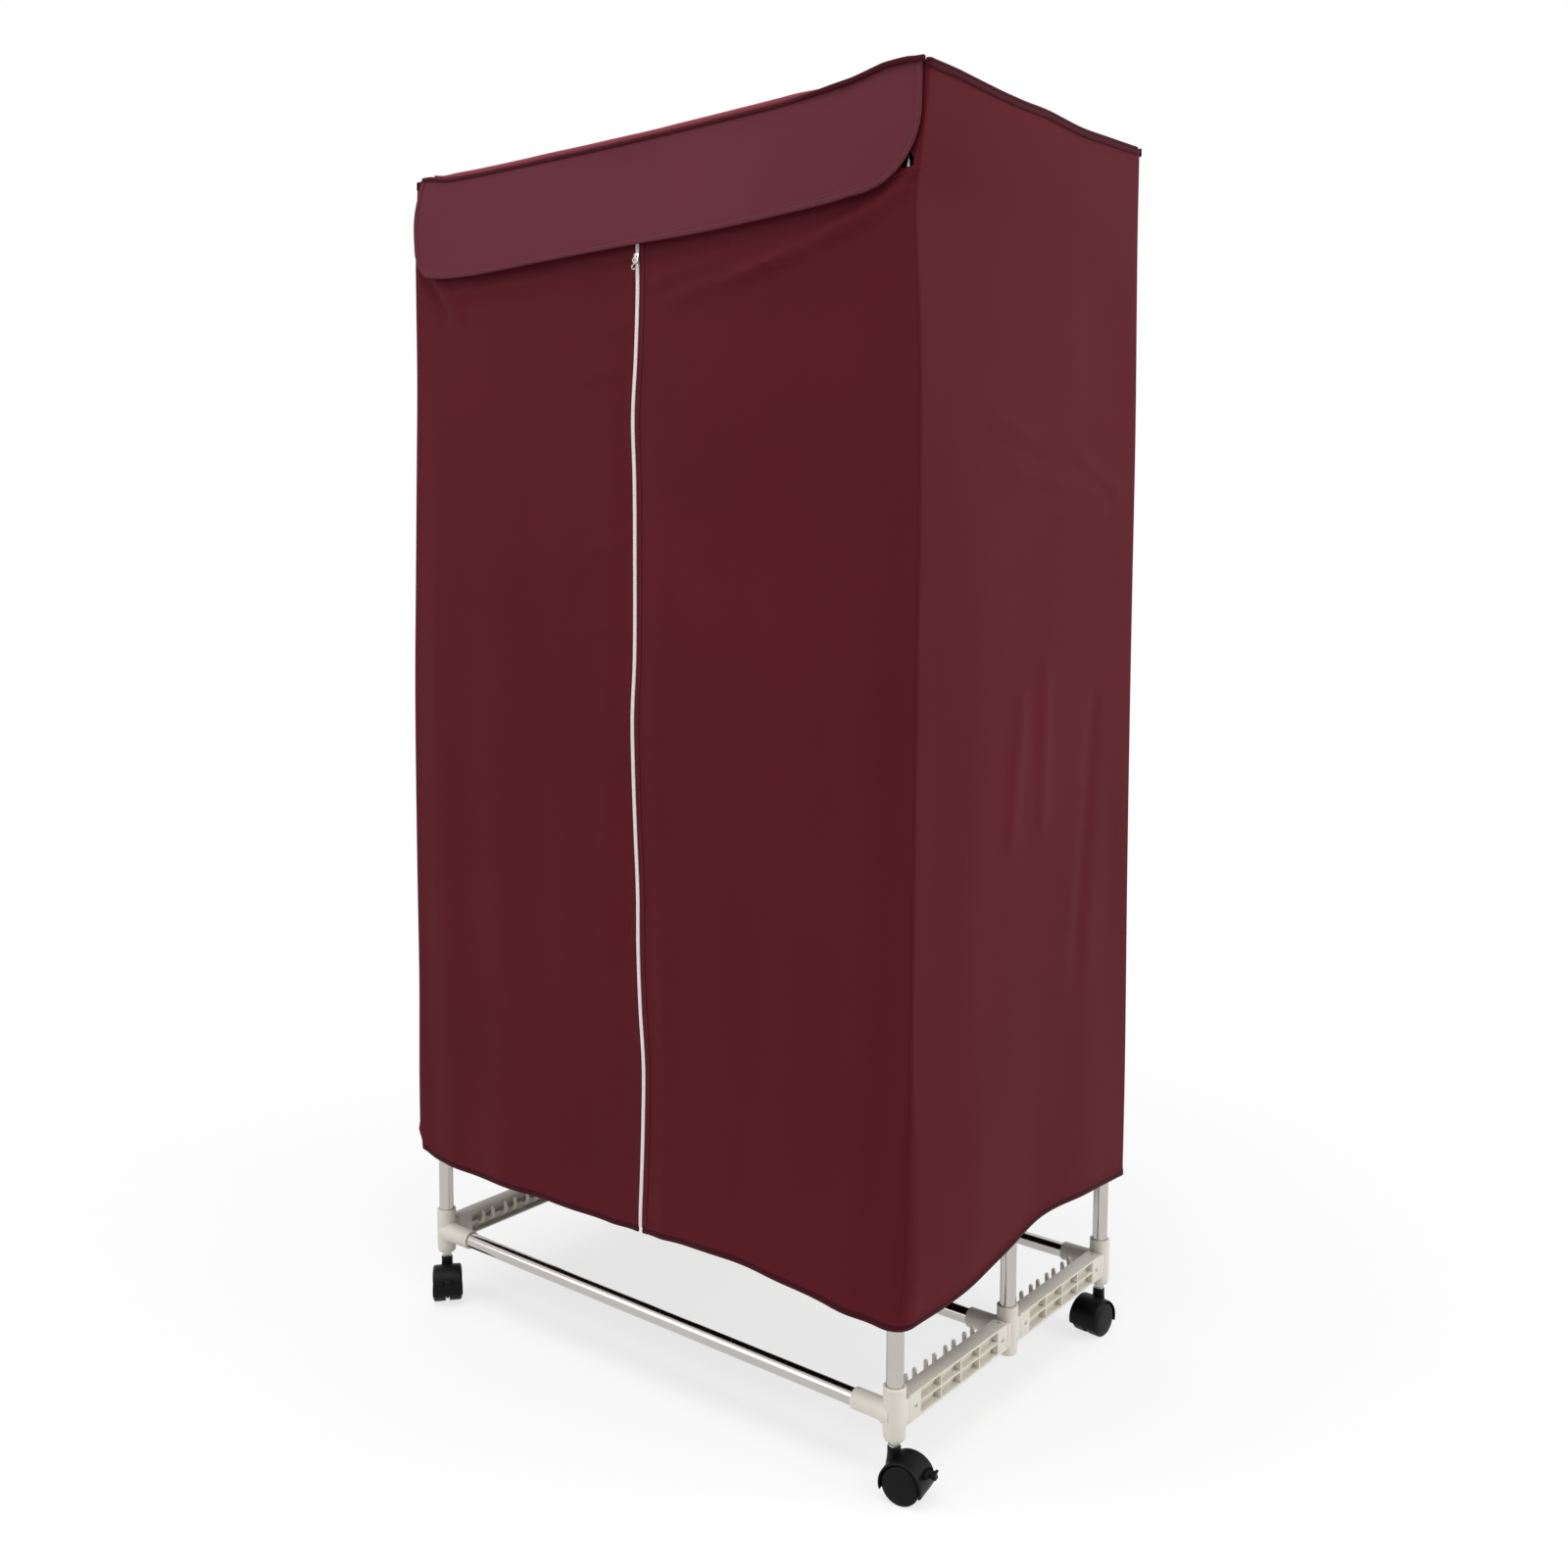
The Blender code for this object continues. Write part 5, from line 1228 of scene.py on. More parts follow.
def front_fold(side, share, x, height):
    """How far the leaf stands out, by its share of the way from corner to zip."""
    low = below(LEAF_TOP, height)
    ends = smooth(share / 0.12) * smooth((1 - share) / 0.10)
    folds = smooth(low / 0.9) * ridged(LEAF_FOLDS[side], share)
    drift = wander(x, 0, height, 5.0 if side == "left" else 11.0, 5.5)
    near_zip = smooth((1 - share) / 0.03) * smooth(share / 0.02)
    drawn = near_zip * creased(LEAF_CREASES[side], x - CENTRE_X, height)
    return (ends * (folds + smooth(low / 0.2) * (drift + 2.0)) + drawn) * MM


def zip_x(height):
    return CENTRE_X + follow(ZIP_WANDER, height)


def leaf_point(side, column, height):
    """A point of the leaf: the first columns go round the corner, the rest along the front."""
    sign, radius = SIDES[side], corner_radius(side, height)
    start = corner_x(side, height) - sign * radius
    if column <= ARC_COLUMNS:
        turn = math.pi / 2 * column / ARC_COLUMNS
        y = FRONT_Y + radius * (1 - math.sin(turn))
        return Vector((start + sign * radius * math.cos(turn), y, height))
    width = zip_x(height) + sign * ZIP_EDGE - start
    flat = LEAF_COLUMNS - ARC_COLUMNS - len(ZIP_FOLD) + 1
    share = (column - ARC_COLUMNS) / flat * (1 - ZIP_FOLD[0] * MM / abs(width))
    if column > LEAF_COLUMNS - len(ZIP_FOLD):
        share = 1 - ZIP_FOLD[column - LEAF_COLUMNS - 1] * MM / abs(width)
    x = start + width * share
    return Vector((x, FRONT_Y - front_fold(side, share, x, height), height))


def front_hem(side, column):
    return follow(FRONT_HEM, leaf_point(side, column, NEAR_HEM).x - CENTRE_X)


# The right leaf is sewn a little higher, so that only a small gap is left under the flap's corner
LEAF_TOPS = {"left": LEAF_TOP, "right": LEAF_TOP + 8 * MM}


def grid(point, side, columns):
    """The panel's rows of points, from the heights of each of its columns."""
    rows = range(len(columns[0]))
    return [[point(side, i, column[j]) for i, column in enumerate(columns)] for j in rows]


def leaf_rows(side):
    hems = [front_hem(side, i) for i in range(LEAF_COLUMNS + 1)]
    columns = [heights(hem, LEAF_TOPS[side], LEAF_ROWS, top_band=True) for hem in hems]
    return grid(leaf_point, side, columns)


LEAF_MESH = {side: leaf_rows(side) for side in SIDES}


def swing(piece):
    """Bakes the piece's placement into its mesh."""
    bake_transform(piece)


def leaf_thickness(row, column):
    """The leaf has a hem below and above, and a fold at the zip."""
    last = len(LEAF_MESH["left"]) - 1
    folded = ZIP_FOLD_THICK if column >= LEAF_COLUMNS - 2 else 0
    return max(hemmed(min(row, last - row), column), folded)


for side in SIDES:
    leaf = panel(f"leaf_cloth_{side}", LEAF_MESH[side], leaf_thickness, CLOTH, bound=HEM_BOUND)
    swing(dress(leaf, "burgundy_cloth", f"front_leaf_{side}"))

# %% [markdown]
# The side panels take up where the leaves' corners end, and carry the rear corners. The hem of
# a side rises towards the rear, as the cloth is held up by the rack's middle post.

# %% Side panels and back
SIDE_COLUMNS = 72
BACK_COLUMNS = 60
BACK_ROWS = 70
REAR_RADIUS = 7 * MM
SIDE_FOLDS = {
    "left": [(0.2, 0.09, 4.0), (0.55, 0.12, 5.0), (0.82, 0.08, 3.0)],
    "right": [(0.22, 0.10, 3.0), (0.50, 0.10, -2.0), (0.78, 0.10, 3.0)],
}
# The sides' creases, as lines (y, z, y, z) from the cover's middle, with a width and a depth
SIDE_CREASES = {
    "left": [(-0.12, 1.30, 0.05, 1.27, 12, 2.0), (0.02, 1.24, 0.18, 1.22, 12, 1.8)],
    "right": [
        (-0.113, 1.321, 0.012, 1.299, 12, 2.2),
        (-0.063, 1.264, 0.137, 1.248, 13, 2.4),
        (0.121, 1.287, 0.226, 1.252, 12, 2.0),
        (0.069, 1.206, 0.182, 1.223, 12, 2.0),
        (-0.040, 0.950, -0.061, 0.799, 16, 2.6),
        (0.023, 0.985, 0.024, 0.815, 16, 2.6),
        (0.166, 0.923, 0.135, 0.622, 20, -3.0),
    ],
}
BACK_FOLDS = [(0.15, 0.07, 3.6), (0.38, 0.09, 5.4), (0.60, 0.10, 4.2), (0.84, 0.07, 5.4)]


def roof_edge(y):
    return ROOF_Z + follow(ROOF_RISE, y - CENTRE_Y)


def side_x(side, share, y, height):
    """The side's place across: from the front corner's to a steady offset at the rear."""
    low = below(ROOF_Z, height)
    ends = smooth(share / 0.10) * smooth((1 - share) / 0.10)
    out = corner_out(side, height) * (1 - smooth(share)) + 5 * MM * smooth(share) * smooth(low / 0.3)
    folds = smooth(low / 0.9) * ridged(SIDE_FOLDS[side], share)
    drift = wander(0, y, height, 17.0 if side == "left" else 23.0, 5.0)
    drawn = creased(SIDE_CREASES[side], y - CENTRE_Y, height)
    out += ends * (folds + smooth(low / 0.2) * drift + drawn) * MM
    return CENTRE_X + SIDES[side] * (COVER_X + out)


def side_point(side, column, height):
    start = FRONT_Y + corner_radius(side, height)
    end = back_y(height) - REAR_RADIUS
    flat = SIDE_COLUMNS - ARC_COLUMNS
    if column <= flat:
        y = start + (end - start) * column / flat
        return Vector((side_x(side, column / flat, y, height), y, height))
    turn = math.pi / 2 * (column - flat) / ARC_COLUMNS
    x = side_x(side, 1.0, end, height) - SIDES[side] * REAR_RADIUS * (1 - math.cos(turn))
    return Vector((x, end + REAR_RADIUS * math.sin(turn), height))


def side_rows(side):
    """The rows follow the leaf's up to its top, so that the two sheets share their corner."""
    columns = []
    for i in range(SIDE_COLUMNS + 1):
        y = side_point(side, i, NEAR_HEM).y
        hem = follow(SIDE_HEM, y - CENTRE_Y)
        blend = smooth(i / 3)
        hem = front_hem(side, 0) * (1 - blend) + hem * blend
        column = heights(hem, LEAF_TOPS[side], LEAF_ROWS, top_band=True)[: 1 - len(HEM_ROWS)]
        columns.append(column + even(column[-1], roof_edge(y), 10)[1:])
    return grid(side_point, side, columns)


SIDE_MESH = {side: side_rows(side) for side in SIDES}
for side in SIDES:
    piece = panel(f"side_cloth_{side}", SIDE_MESH[side], hemmed, CLOTH, bound=HEM_BOUND)
    keep(piece, "frame", "burgundy_cloth", f"side_panel_{side}")


def back_point(share, height):
    left, right = (side_point(side, SIDE_COLUMNS, height).x for side in SIDES)
    x = left + (right - left) * share
    low = below(ROOF_Z, height)
    ends = smooth(share / 0.06) * smooth((1 - share) / 0.06)
    folds = smooth(low / 0.9) * ridged(BACK_FOLDS, share)
    out = ends * (folds + smooth(low / 0.2) * wander(x, 0, height, 31.0, 6.0))
    return Vector((x, back_y(height) + out * MM, height))


def back_rows():
    """The hem runs between the ends of the sides' hems, and hangs a little in the middle."""
    left, right = (SIDE_MESH[side][0][-1].z for side in SIDES)
    shares = [i / BACK_COLUMNS for i in range(BACK_COLUMNS + 1)]
    columns = []
    for i in range(BACK_COLUMNS + 1):
        hem = left * (1 - i / BACK_COLUMNS) + right * i / BACK_COLUMNS
        hem -= 8 * MM * math.sin(math.pi * i / BACK_COLUMNS)
        columns.append(heights(hem, roof_edge(BACK_Y), BACK_ROWS))
    return [[back_point(*place) for place in zip(shares, line)] for line in zip(*columns)]


BACK_MESH = back_rows()
back = panel("back_cloth", BACK_MESH, hemmed, CLOTH, bound=HEM_BOUND)
keep(back, "frame", "burgundy_cloth", "back_panel")

# %% [markdown]
# Above the leaves the front corners go on up to the roof as narrow strips, since the leaves hang
# free there. A thin seam runs up the middle of each corner, where side and front are sewn together.

# %% Corner strips and corner seams
SEAM_RIDGE = [(-0.9, -0.4), (0.9, -0.4), (0.55, 0.5), (0.0, 0.75), (-0.55, 0.5)]


def corner_strip(side):
    rows = []
    for height in even(LEAF_TOPS[side] + 0.3 * MM, roof_edge(FRONT_Y), 14):
        line = [leaf_point(side, column, height) for column in range(ARC_COLUMNS + 1)]
        wide = (4 + 14 * smooth((height - LEAF_TOPS[side] - 8 * MM) / (18 * MM))) * MM
        line += [line[-1] - Vector((SIDES[side] * inward, 0, 0)) for inward in (3 * MM, wide)]
        rows.append(line)
    piece = panel(f"corner_strip_{side}", rows, plain, CLOTH)
    return keep(piece, "frame", "burgundy_cloth"), rows


def corner_seam(side):
    """A ridge up the middle of the corner's curve, from the hem to the roof."""
    middle_column = ARC_COLUMNS // 2
    rows = LEAF_MESH[side][len(HEM_ROWS) : -len(HEM_ROWS) : 3] + CORNER_STRIPS[side][1]
    outwards = Vector((SIDES[side], -1, 0)).normalized()
    path = [row[middle_column] + outwards * CLOTH_THICK / 2 for row in rows]
    seam = swept(f"corner_seam_{side}", path, SEAM_RIDGE, CLOTH, outwards)
    return keep(seam, "frame", "burgundy_cloth")


CORNER_STRIPS = {side: corner_strip(side) for side in SIDES}
for side in SIDES:
    corner_seam(side)

# %% [markdown]
# The roof is one panel over the top connectors. It sags a little between them, and its side edges
# follow the top of the side panels.

# %% Roof
ROOF_SAG = 7 * MM


def roof_rows():
    rows = []
    for y in even(FRONT_Y - 0.5 * MM, back_y(ROOF_Z), 44):
        share = max(0.0, min(1.0, (y - FRONT_Y) / (BACK_Y - FRONT_Y)))
        left, right = (side_x(side, share, y, ROOF_Z) for side in SIDES)
        line = []
        for x in even(left, right, 64):
            inside = min(x - left, right - x, y - FRONT_Y, back_y(ROOF_Z) - y)
            sag = ROOF_SAG * smooth((inside - 0.10) / 0.17)
            drop = follow(FRONT_SAG, x - CENTRE_X) * smooth(1 - (y - FRONT_Y) / 0.08)
            uneven = wander(x, y, 2, 41.0, 1.4) * smooth(inside / 0.08) * MM
            line.append(Vector((x, y, roof_edge(y) - sag - drop + uneven)))
        rows.append(line)
    return rows


ROOF_MESH = roof_rows()
roof = panel("roof_cloth", ROOF_MESH, plain, CLOTH)
keep(roof, "frame", "burgundy_cloth", "top_panel")

# %% [markdown]
# A bound seam goes round the roof: the panels' raw edges are folded down over the sides in a bias
# binding and stitched through. It is a flattened strip swept along the edge, as a swept section is
# the simplest way to keep one shape round a whole path. On the sides it starts on the front
# corner's curve, beside the flap's end.

# %% Bound seams
# The section as (outwards, up) in millimetres. The step in its outer face is the line of stitches.
ROOF_BINDING = [(-1.2, 2.2), (-0.4, 3.4), (0.8, 3.7), (1.9, 3.0), (2.3, 1.2), (2.3, -0.4)]
ROOF_BINDING += [(1.7, -0.9), (2.3, -1.5), (2.4, -4.5), (2.2, -7.2), (1.6, -7.8), (0.7, -7.6)]
ROOF_BINDING += [(0.6, -1.0)]
MIRRORED_BINDING = [(-a, b) for a, b in ROOF_BINDING]
# Outside the corner connectors the roof's edge hangs a little lower
CORNER_DROP = {"left": 3.2 * MM, "right": 1.6 * MM}


def side_binding(side):
    """The path round the front corner and back along the side, at the roof's edge."""
    radius = corner_radius(side, ROOF_Z)
    start = corner_x(side, ROOF_Z) - SIDES[side] * radius
    path = []
    for turn in even(math.radians(90), 0, 6):
        x = start + SIDES[side] * radius * math.cos(turn)
        y = FRONT_Y + radius * (1 - math.sin(turn))
        path.append(Vector((x, y, roof_edge(y))))
    edge = [row[0 if side == "left" else -1].copy() for row in ROOF_MESH[:-1]]
    path += [point for point in edge if point.y > path[-1].y + 6 * MM]
    for point in path:
        point.z -= CORNER_DROP[side] * smooth(1 - (point.y - FRONT_Y) / 0.07)
    section = ROOF_BINDING if side == "right" else MIRRORED_BINDING
    return swept(f"roof_binding_{side}", path, section, SHADED_BINDING, UPWARDS)


for side in SIDES:
    keep(side_binding(side), "frame", "burgundy_cloth")
path = [point + Vector((0, 0.4 * MM, 0)) for point in ROOF_MESH[-1]]
binding = swept("roof_binding_rear", path, MIRRORED_BINDING, SHADED_BINDING, UPWARDS)
keep(binding, "frame", "burgundy_cloth")

# %% [markdown]
# The flap covers the top of the leaves and the zip. It hangs from a narrow welt, which is its
# hinge, under a soft roll of the roof's cloth. It stands forward at the bottom, less so at its
# right end. Its lower corners are cut round, and its edge is turned and stitched like the hems.

# %% Front flap
# The height of its lower edge, by the distance from the middle
FLAP_BOTTOM = [(-0.415, 1.5645), (-0.35, 1.558), (-0.274, 1.556), (-0.15, 1.5575), (0.02, 1.559)]
FLAP_BOTTOM += [(0.13, 1.559), (0.228, 1.562), (0.302, 1.565), (0.346, 1.568), (0.39, 1.573)]
FLAP_SIDES = {"left": -0.452, "right": 0.4545}
FLAP_RADII = {"left": 0.042, "right": 0.088}
# How far the left edge is drawn in, by the distance below the hinge
FLAP_DRAWN_IN = [(0.0, 0.031), (0.06, 0.017), (0.12, 0.022)]
FLAP_FORWARD = 12 * MM
FLAP_ROWS = 24
# A narrow turning of the flap runs on behind the welt
TURNING = 3.6 * MM


def flap_corner(side):
    """The rounded lower corner as (x, z), from the flap's side to its lower edge."""
    edge, radius = FLAP_SIDES[side], FLAP_RADII[side]
    inward = -SIDES[side]
    low = follow(FLAP_BOTTOM, edge + inward * radius)
    turns = even(0, math.pi / 2, 14)
    across = [edge + inward * radius * (1 - math.cos(turn)) for turn in turns]
    return list(zip(across, [low + radius * (1 - math.sin(turn)) for turn in turns]))


def flap_outline():
    """The lower edge from left to right, round both corners, as (x, z)."""
    left, right = (flap_corner(side) for side in SIDES)
    between = even(left[-1][0], right[-1][0], 80)[1:-1]
    return left + [(x, follow(FLAP_BOTTOM, x)) for x in between] + right[::-1]


def flap_point(x, z):
    """The point of the flap's middle surface that lies at (x, z) in its outline."""
    down = HINGE.z - z
    out = FLAP_FORWARD * (down / 0.155) ** 1.3 * (0.85 + 0.15 * math.cos(9 * x + 0.6))
    out += smooth((-x - 0.36) / 0.09) * 2 * MM * smooth(down / 0.05)
    out += wander(x, 0, z, 53.0, 2.2) * MM * smooth(down / 0.05)
    out *= 1 - 0.65 * smooth((x - 0.35) / 0.09)
    x += follow(FLAP_DRAWN_IN, down) * smooth((-x - 0.37) / 0.08)
    z -= follow(FRONT_SAG, x) * smooth(1 - down / 0.12)
    return Vector((x + CENTRE_X, HINGE.y - 0.4 * MM - max(out, 0), z))


outline = flap_outline()
rows = []
for share in even(1.0, 0.0, FLAP_ROWS):
    rows.append([flap_point(x, HINGE.z - (HINGE.z - z) * share) for x, z in outline])
root = rows[-1]
for step in even(0.0, TURNING, FLAP_ROWS // 2)[1:]:
    rows.append([point + Vector((0, step, -0.7 * step)) for point in root])
# The flap's paler finish is a painted sheen
flap = dress(panel("flap_cloth", rows, plain, SHEEN_PAINTED_CLOTH), "burgundy_cloth", "front_flap")
start = (0, HINGE.y + TURNING - 0.6 * MM, 0)
end = (0, HINGE.y + 0.4 * MM, 0)
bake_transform(flap)

FLAP_TOP = HINGE.z - 1 * MM
FLAP_EDGE = [(FLAP_SIDES["left"], z) for z in even(FLAP_TOP, outline[0][1], 14)[:-1]] + outline
FLAP_EDGE += [(FLAP_SIDES["right"], z) for z in even(outline[-1][1], FLAP_TOP, 14)[1:]]


def inset(edge, distance):
    """Moves the flap's edge line inwards by a distance, in its own plane."""
    moved = []
    for k, (x, z) in enumerate(edge):
        (x0, z0), (x1, z1) = edge[max(k - 1, 0)], edge[min(k + 1, len(edge) - 1)]
        run = math.hypot(x1 - x0, z1 - z0)
        moved.append(flap_point(x - (z1 - z0) / run * distance, z + (x1 - x0) / run * distance))
    return moved


# The hem's lines, as (distance from the edge, thickness) in millimetres
FLAP_HEM = [(-0.5, 1.0), (0.0, 2.4), (1.2, 2.8), (3.2, 2.8), (6.0, 2.6), (7.4, 1.3), (8.6, 2.4)]
FLAP_HEM += [(9.6, 0.95)]
band = [inset(FLAP_EDGE, step * MM) for step, _ in FLAP_HEM]
# The hem carries the flap's painted sheen too
piece = panel("flap_hem", band, lambda j, i: FLAP_HEM[j][1] * MM, SHEEN_PAINTED_CLOTH)
keep(piece, "flap", "burgundy_cloth")

# The welt rides with the frame. Its right end runs past the flap, and dips under the binding.
WELT = [(-1.4, -2.0), (1.4, -2.0), (1.9, -0.8), (1.9, 0.8)]
WELT += [(-a, -b) for a, b in WELT]
start = FLAP_SIDES["left"] + FLAP_DRAWN_IN[0][1]
end = FLAP_SIDES["right"] + 3.6 * MM
path, sizes = [], []
for x in even(start, end, 80):
    # On the right, past the roll, the welt is thicker and makes the roof's edge itself
    alone = smooth((x - 0.24) / 0.11)
    tucked = smooth((x - 0.432) / 0.024)
    drop = follow(FRONT_SAG, x) + (4.4 - 4.4 * alone + 2.4 * tucked) * MM
    path.append(Vector((CENTRE_X + x, HINGE.y - (0.8 + 1.6 * alone) * MM, HINGE.z - drop)))
    sizes.append(1.0 + 0.5 * alone)
# The welt's dark finish is painted shade under the roll
keep(swept("flap_welt", path, WELT, SHADED_BINDING, UPWARDS, sizes), "frame", "burgundy_cloth")

# The roll of the roof's cloth lies behind the welt and tapers out at both ends
ROLL_ENDS = (-0.395, 0.330)
roll = [(4.4 * math.cos(a), 4.3 * math.sin(a)) for a in even(0, math.tau, 14)[:-1]]
path, sizes = [], []
for x in even(*ROLL_ENDS, 72):
    lift = 1.5 * MM + wander(x * 4, 0, 1, 61.0, 0.5) * MM - follow(FRONT_SAG, x)
    path.append(Vector((CENTRE_X + x, HINGE.y + 1.8 * MM, HINGE.z + lift)))
    near = min(x - ROLL_ENDS[0], ROLL_ENDS[1] - x)
    sizes.append(0.35 + 0.65 * smooth(near / 0.06))
# The roll's paler finish is a painted highlight
keep(swept("roof_front_roll", path, roll, HIGHLIGHT_PAINTED_ROLL, UPWARDS, sizes), "frame", "burgundy_cloth")

# %% [markdown]
# Lines of stitches hold every hem. One small stitch, a thread that dips into the cloth at both
# ends, is repeated by the path tree. The thread is drawn twice as thick as a real one, so that it
# shows.

# %% Stitches
STITCH_PITCH = 4.2 * MM


def stitch_pattern():
    shape = bmesh.new()
    spindle = [(0, -1.45), (0.22, -1.3), (0.34, 0), (0.22, 1.3), (0, 1.45)]
    lying = Matrix.Rotation(math.pi / 2, 4, "Y")
    turned(shape, [(r * MM, h * MM) for r, h in spindle], lying, steps=5)
    return closed("stitch", shape, THREAD_FINISH)


STITCH = stitch_pattern()


def hem_lines(rows, outwards):
    """Two lines of stitches along a hem: near its edge, and in its seam. outwards is per column."""
    lines = []
    for row, clear in ((2, 0.0), (HEM_SEAM, 0.15)):
        lift = HEM_ROWS[row][1] / 2 + clear
        lines.append([point + outwards(i) * lift * MM for i, point in enumerate(rows[row])])
    return lines


def stitched(name, lines, outwards):
    return along(name, lines, STITCH, STITCH_PITCH, outwards, THREAD_FINISH, wander=0.06)


def round_corner(side):
    def outwards(i):
        turn = math.pi / 2 * min(i / ARC_COLUMNS, 1)
        return Vector((SIDES[side] * math.cos(turn), -math.sin(turn), 0))

    return outwards


for side in SIDES:
    lines = hem_lines(LEAF_MESH[side], round_corner(side))
    lift = FORWARDS * (ZIP_FOLD_THICK / 2 + 0.1 * MM)
    lines.append([row[-3].lerp(row[-2], 0.35) + lift for row in LEAF_MESH[side][2:-2]])
    piece = stitched(f"leaf_stitches_{side}", lines, Vector((SIDES[side] * 0.4, -0.9, 0)))
    swing(dress(piece, "burgundy_cloth"))
    outwards = Vector((SIDES[side], 0, 0))
    lines = hem_lines(SIDE_MESH[side], lambda i: outwards)
    lines = [line[: SIDE_COLUMNS - ARC_COLUMNS + 1] for line in lines]
    keep(stitched(f"side_stitches_{side}", lines, outwards), "frame", "burgundy_cloth")
backwards = -FORWARDS
lines = hem_lines(BACK_MESH, lambda i: backwards)
keep(stitched("back_stitches", lines, backwards), "frame", "burgundy_cloth")
lines = []
for step, lift in ((2.2, 1.4), (7.4, 0.8)):
    lines.append([point + FORWARDS * lift * MM for point in inset(FLAP_EDGE, step * MM)])
keep(stitched("flap_stitches", lines, FORWARDS), "flap", "burgundy_cloth")
bpy.data.objects.remove(STITCH)

# %% [markdown]

# %% [markdown]
# The zip is a coil zip: two woven tapes, each with a plastic coil along its inner edge. One turn
# of the coil is a small rounded block here, and the path tree repeats it at its pitch. The two
# sides are set half a pitch apart, so that they interlock.

# %% Zip
COIL_PITCH = 2.0 * MM
ZIP_BOTTOM, ZIP_TOP = reach("zip_left", 2)
TAPE_THICK = 0.7 * MM


def coil_pattern():
    shape = bmesh.new()
    brick(shape, (-0.75 * MM, -1.45 * MM, -0.7 * MM), (0.75 * MM, 1.45 * MM, 0.7 * MM))
    return closed("coil_turn", shape, COIL, bevel=0.3 * MM)


def tape_thickness(row, column):
    return TAPE_THICK


COIL_TURN = coil_pattern()
for side in SIDES:
    sign = SIDES[side]
    rows = []
    for height in even(ZIP_BOTTOM, ZIP_TOP, 120):
        across = [zip_x(height) + sign * x * MM for x in (0.25, 2.0, 3.6, 5.2, 8.0)]
        rows.append([Vector((x, FRONT_Y + 0.3 * MM, height)) for x in across])
    tape = panel(f"zip_tape_{side}", rows, tape_thickness, TAPE)
    keep(tape, f"leaf_{side}", "zip_nylon", f"zip_{side}")
    start = ZIP_BOTTOM + 2 * MM + (COIL_PITCH / 2 if side == "left" else 0)
    climb = even(start, ZIP_TOP - 4 * MM, 160)
    path = [Vector((zip_x(h) + sign * 1.3 * MM, FRONT_Y - 0.45 * MM, h)) for h in climb]
    coil = along(f"zip_coil_{side}", [path], COIL_TURN, COIL_PITCH, FORWARDS, COIL)
    keep(coil, f"leaf_{side}", "zip_nylon")
bpy.data.objects.remove(COIL_TURN)

# %% [markdown]
# The slider is a die casting: two plates joined by a neck, wider at the top where the coils part,
# with a bridge that carries a ring. It is nickel plated, so it is smooth and bright.

# %% Slider and ring
slider = middle("zip_slider")
# The real zip isn't quite straight, so the slider sits where the coils are at its height
aside = zip_x(slider.z) - slider.x
slider.x += aside
SLIDER_FACE = FRONT_Y - 1.95 * MM
shape = bmesh.new()
half = [(3.4, -6.5), (3.8, -1.0), (4.6, 3.5), (4.2, 6.3), (1.2, 6.5)]
plate = half + [(0.0, 5.2)] + [(-x, z) for x, z in half[::-1]]
plate = [(x * MM, z * MM) for x, z in plate]
place = Matrix.Translation((slider.x, 0, slider.z))
prism(shape, plate, SLIDER_FACE - 1.2 * MM, SLIDER_FACE, place)
prism(shape, plate, FRONT_Y + 1.2 * MM, FRONT_Y + 2.2 * MM, place)
neck_low = (-0.5 * MM, SLIDER_FACE - 0.5 * MM, 3 * MM)
neck_high = (0.5 * MM, FRONT_Y + 1.5 * MM, 5 * MM)
brick(shape, neck_low, neck_high, place)
pivot = Vector(JOINTS["pull_swing"]["pos_m"]) + Vector((aside, 0, 0))
bridge = [(0.8, -3.4), (2.8, -2.6), (3.4, 0.0), (2.8, 2.6), (0.8, 3.4)]
bridge = [(SLIDER_FACE - y * MM, z * MM) for y, z in bridge]
inner_bridge = [(y + 1.0 * MM, z * 0.62) for y, z in bridge[::-1]]
ring = [Vector((0, y, z)) for y, z in bridge + inner_bridge]
ends = [Vector((x * MM, 0, 0)) for x in (-1.2, 1.2)]
loft(shape, [[shape.verts.new(place @ (point + end)) for point in ring] for end in ends])
casting = closed("zip_slider_casting", shape, NICKEL, bevel=0.35 * MM)
keep(casting, "slider", "plated_metal", "zip_slider")


def torus(shape, major, minor, place):
    angles = even(0, math.tau, 12)[:-1]
    profile = [(major + minor * math.cos(a), minor * math.sin(a)) for a in angles]
    turned(shape, profile, place, steps=48)


shape = bmesh.new()
link = Matrix.Translation(pivot + Vector((0, -1.1 * MM, -3.4 * MM)))
torus(shape, 3.6 * MM, 0.65 * MM, link @ Matrix.Rotation(math.pi / 2, 4, "X"))
hanging = Matrix.Translation(pivot + Vector((0, -1.1 * MM, -11.2 * MM)))
torus(shape, 5.0 * MM, 0.75 * MM, hanging @ Matrix.Rotation(math.radians(62), 4, "X"))
keep(closed("zip_ring", shape, NICKEL), "pull", "plated_metal", "zip_pull")

# %% [markdown]
# The fan heater keeps its CAD shape and gets its own plastics and metals. Only the round pieces
# that the eye meets are made again, smoother: the timer's knob, and the gland of the cord.

# %% Heater finishes
for node, finish in (
    ("heater_housing", WHITE_ABS),
    ("heater_grille", WHITE_ABS),
    ("heater_impeller", DARK_PP),
    ("heater_motor", CAN_STEEL),
    ("heater_element", FIN_ALUMINIUM),
):
    for slot in frame["nodes"][node].material_slots:
        slot.material = finish
    print(node, "is", finish.name)

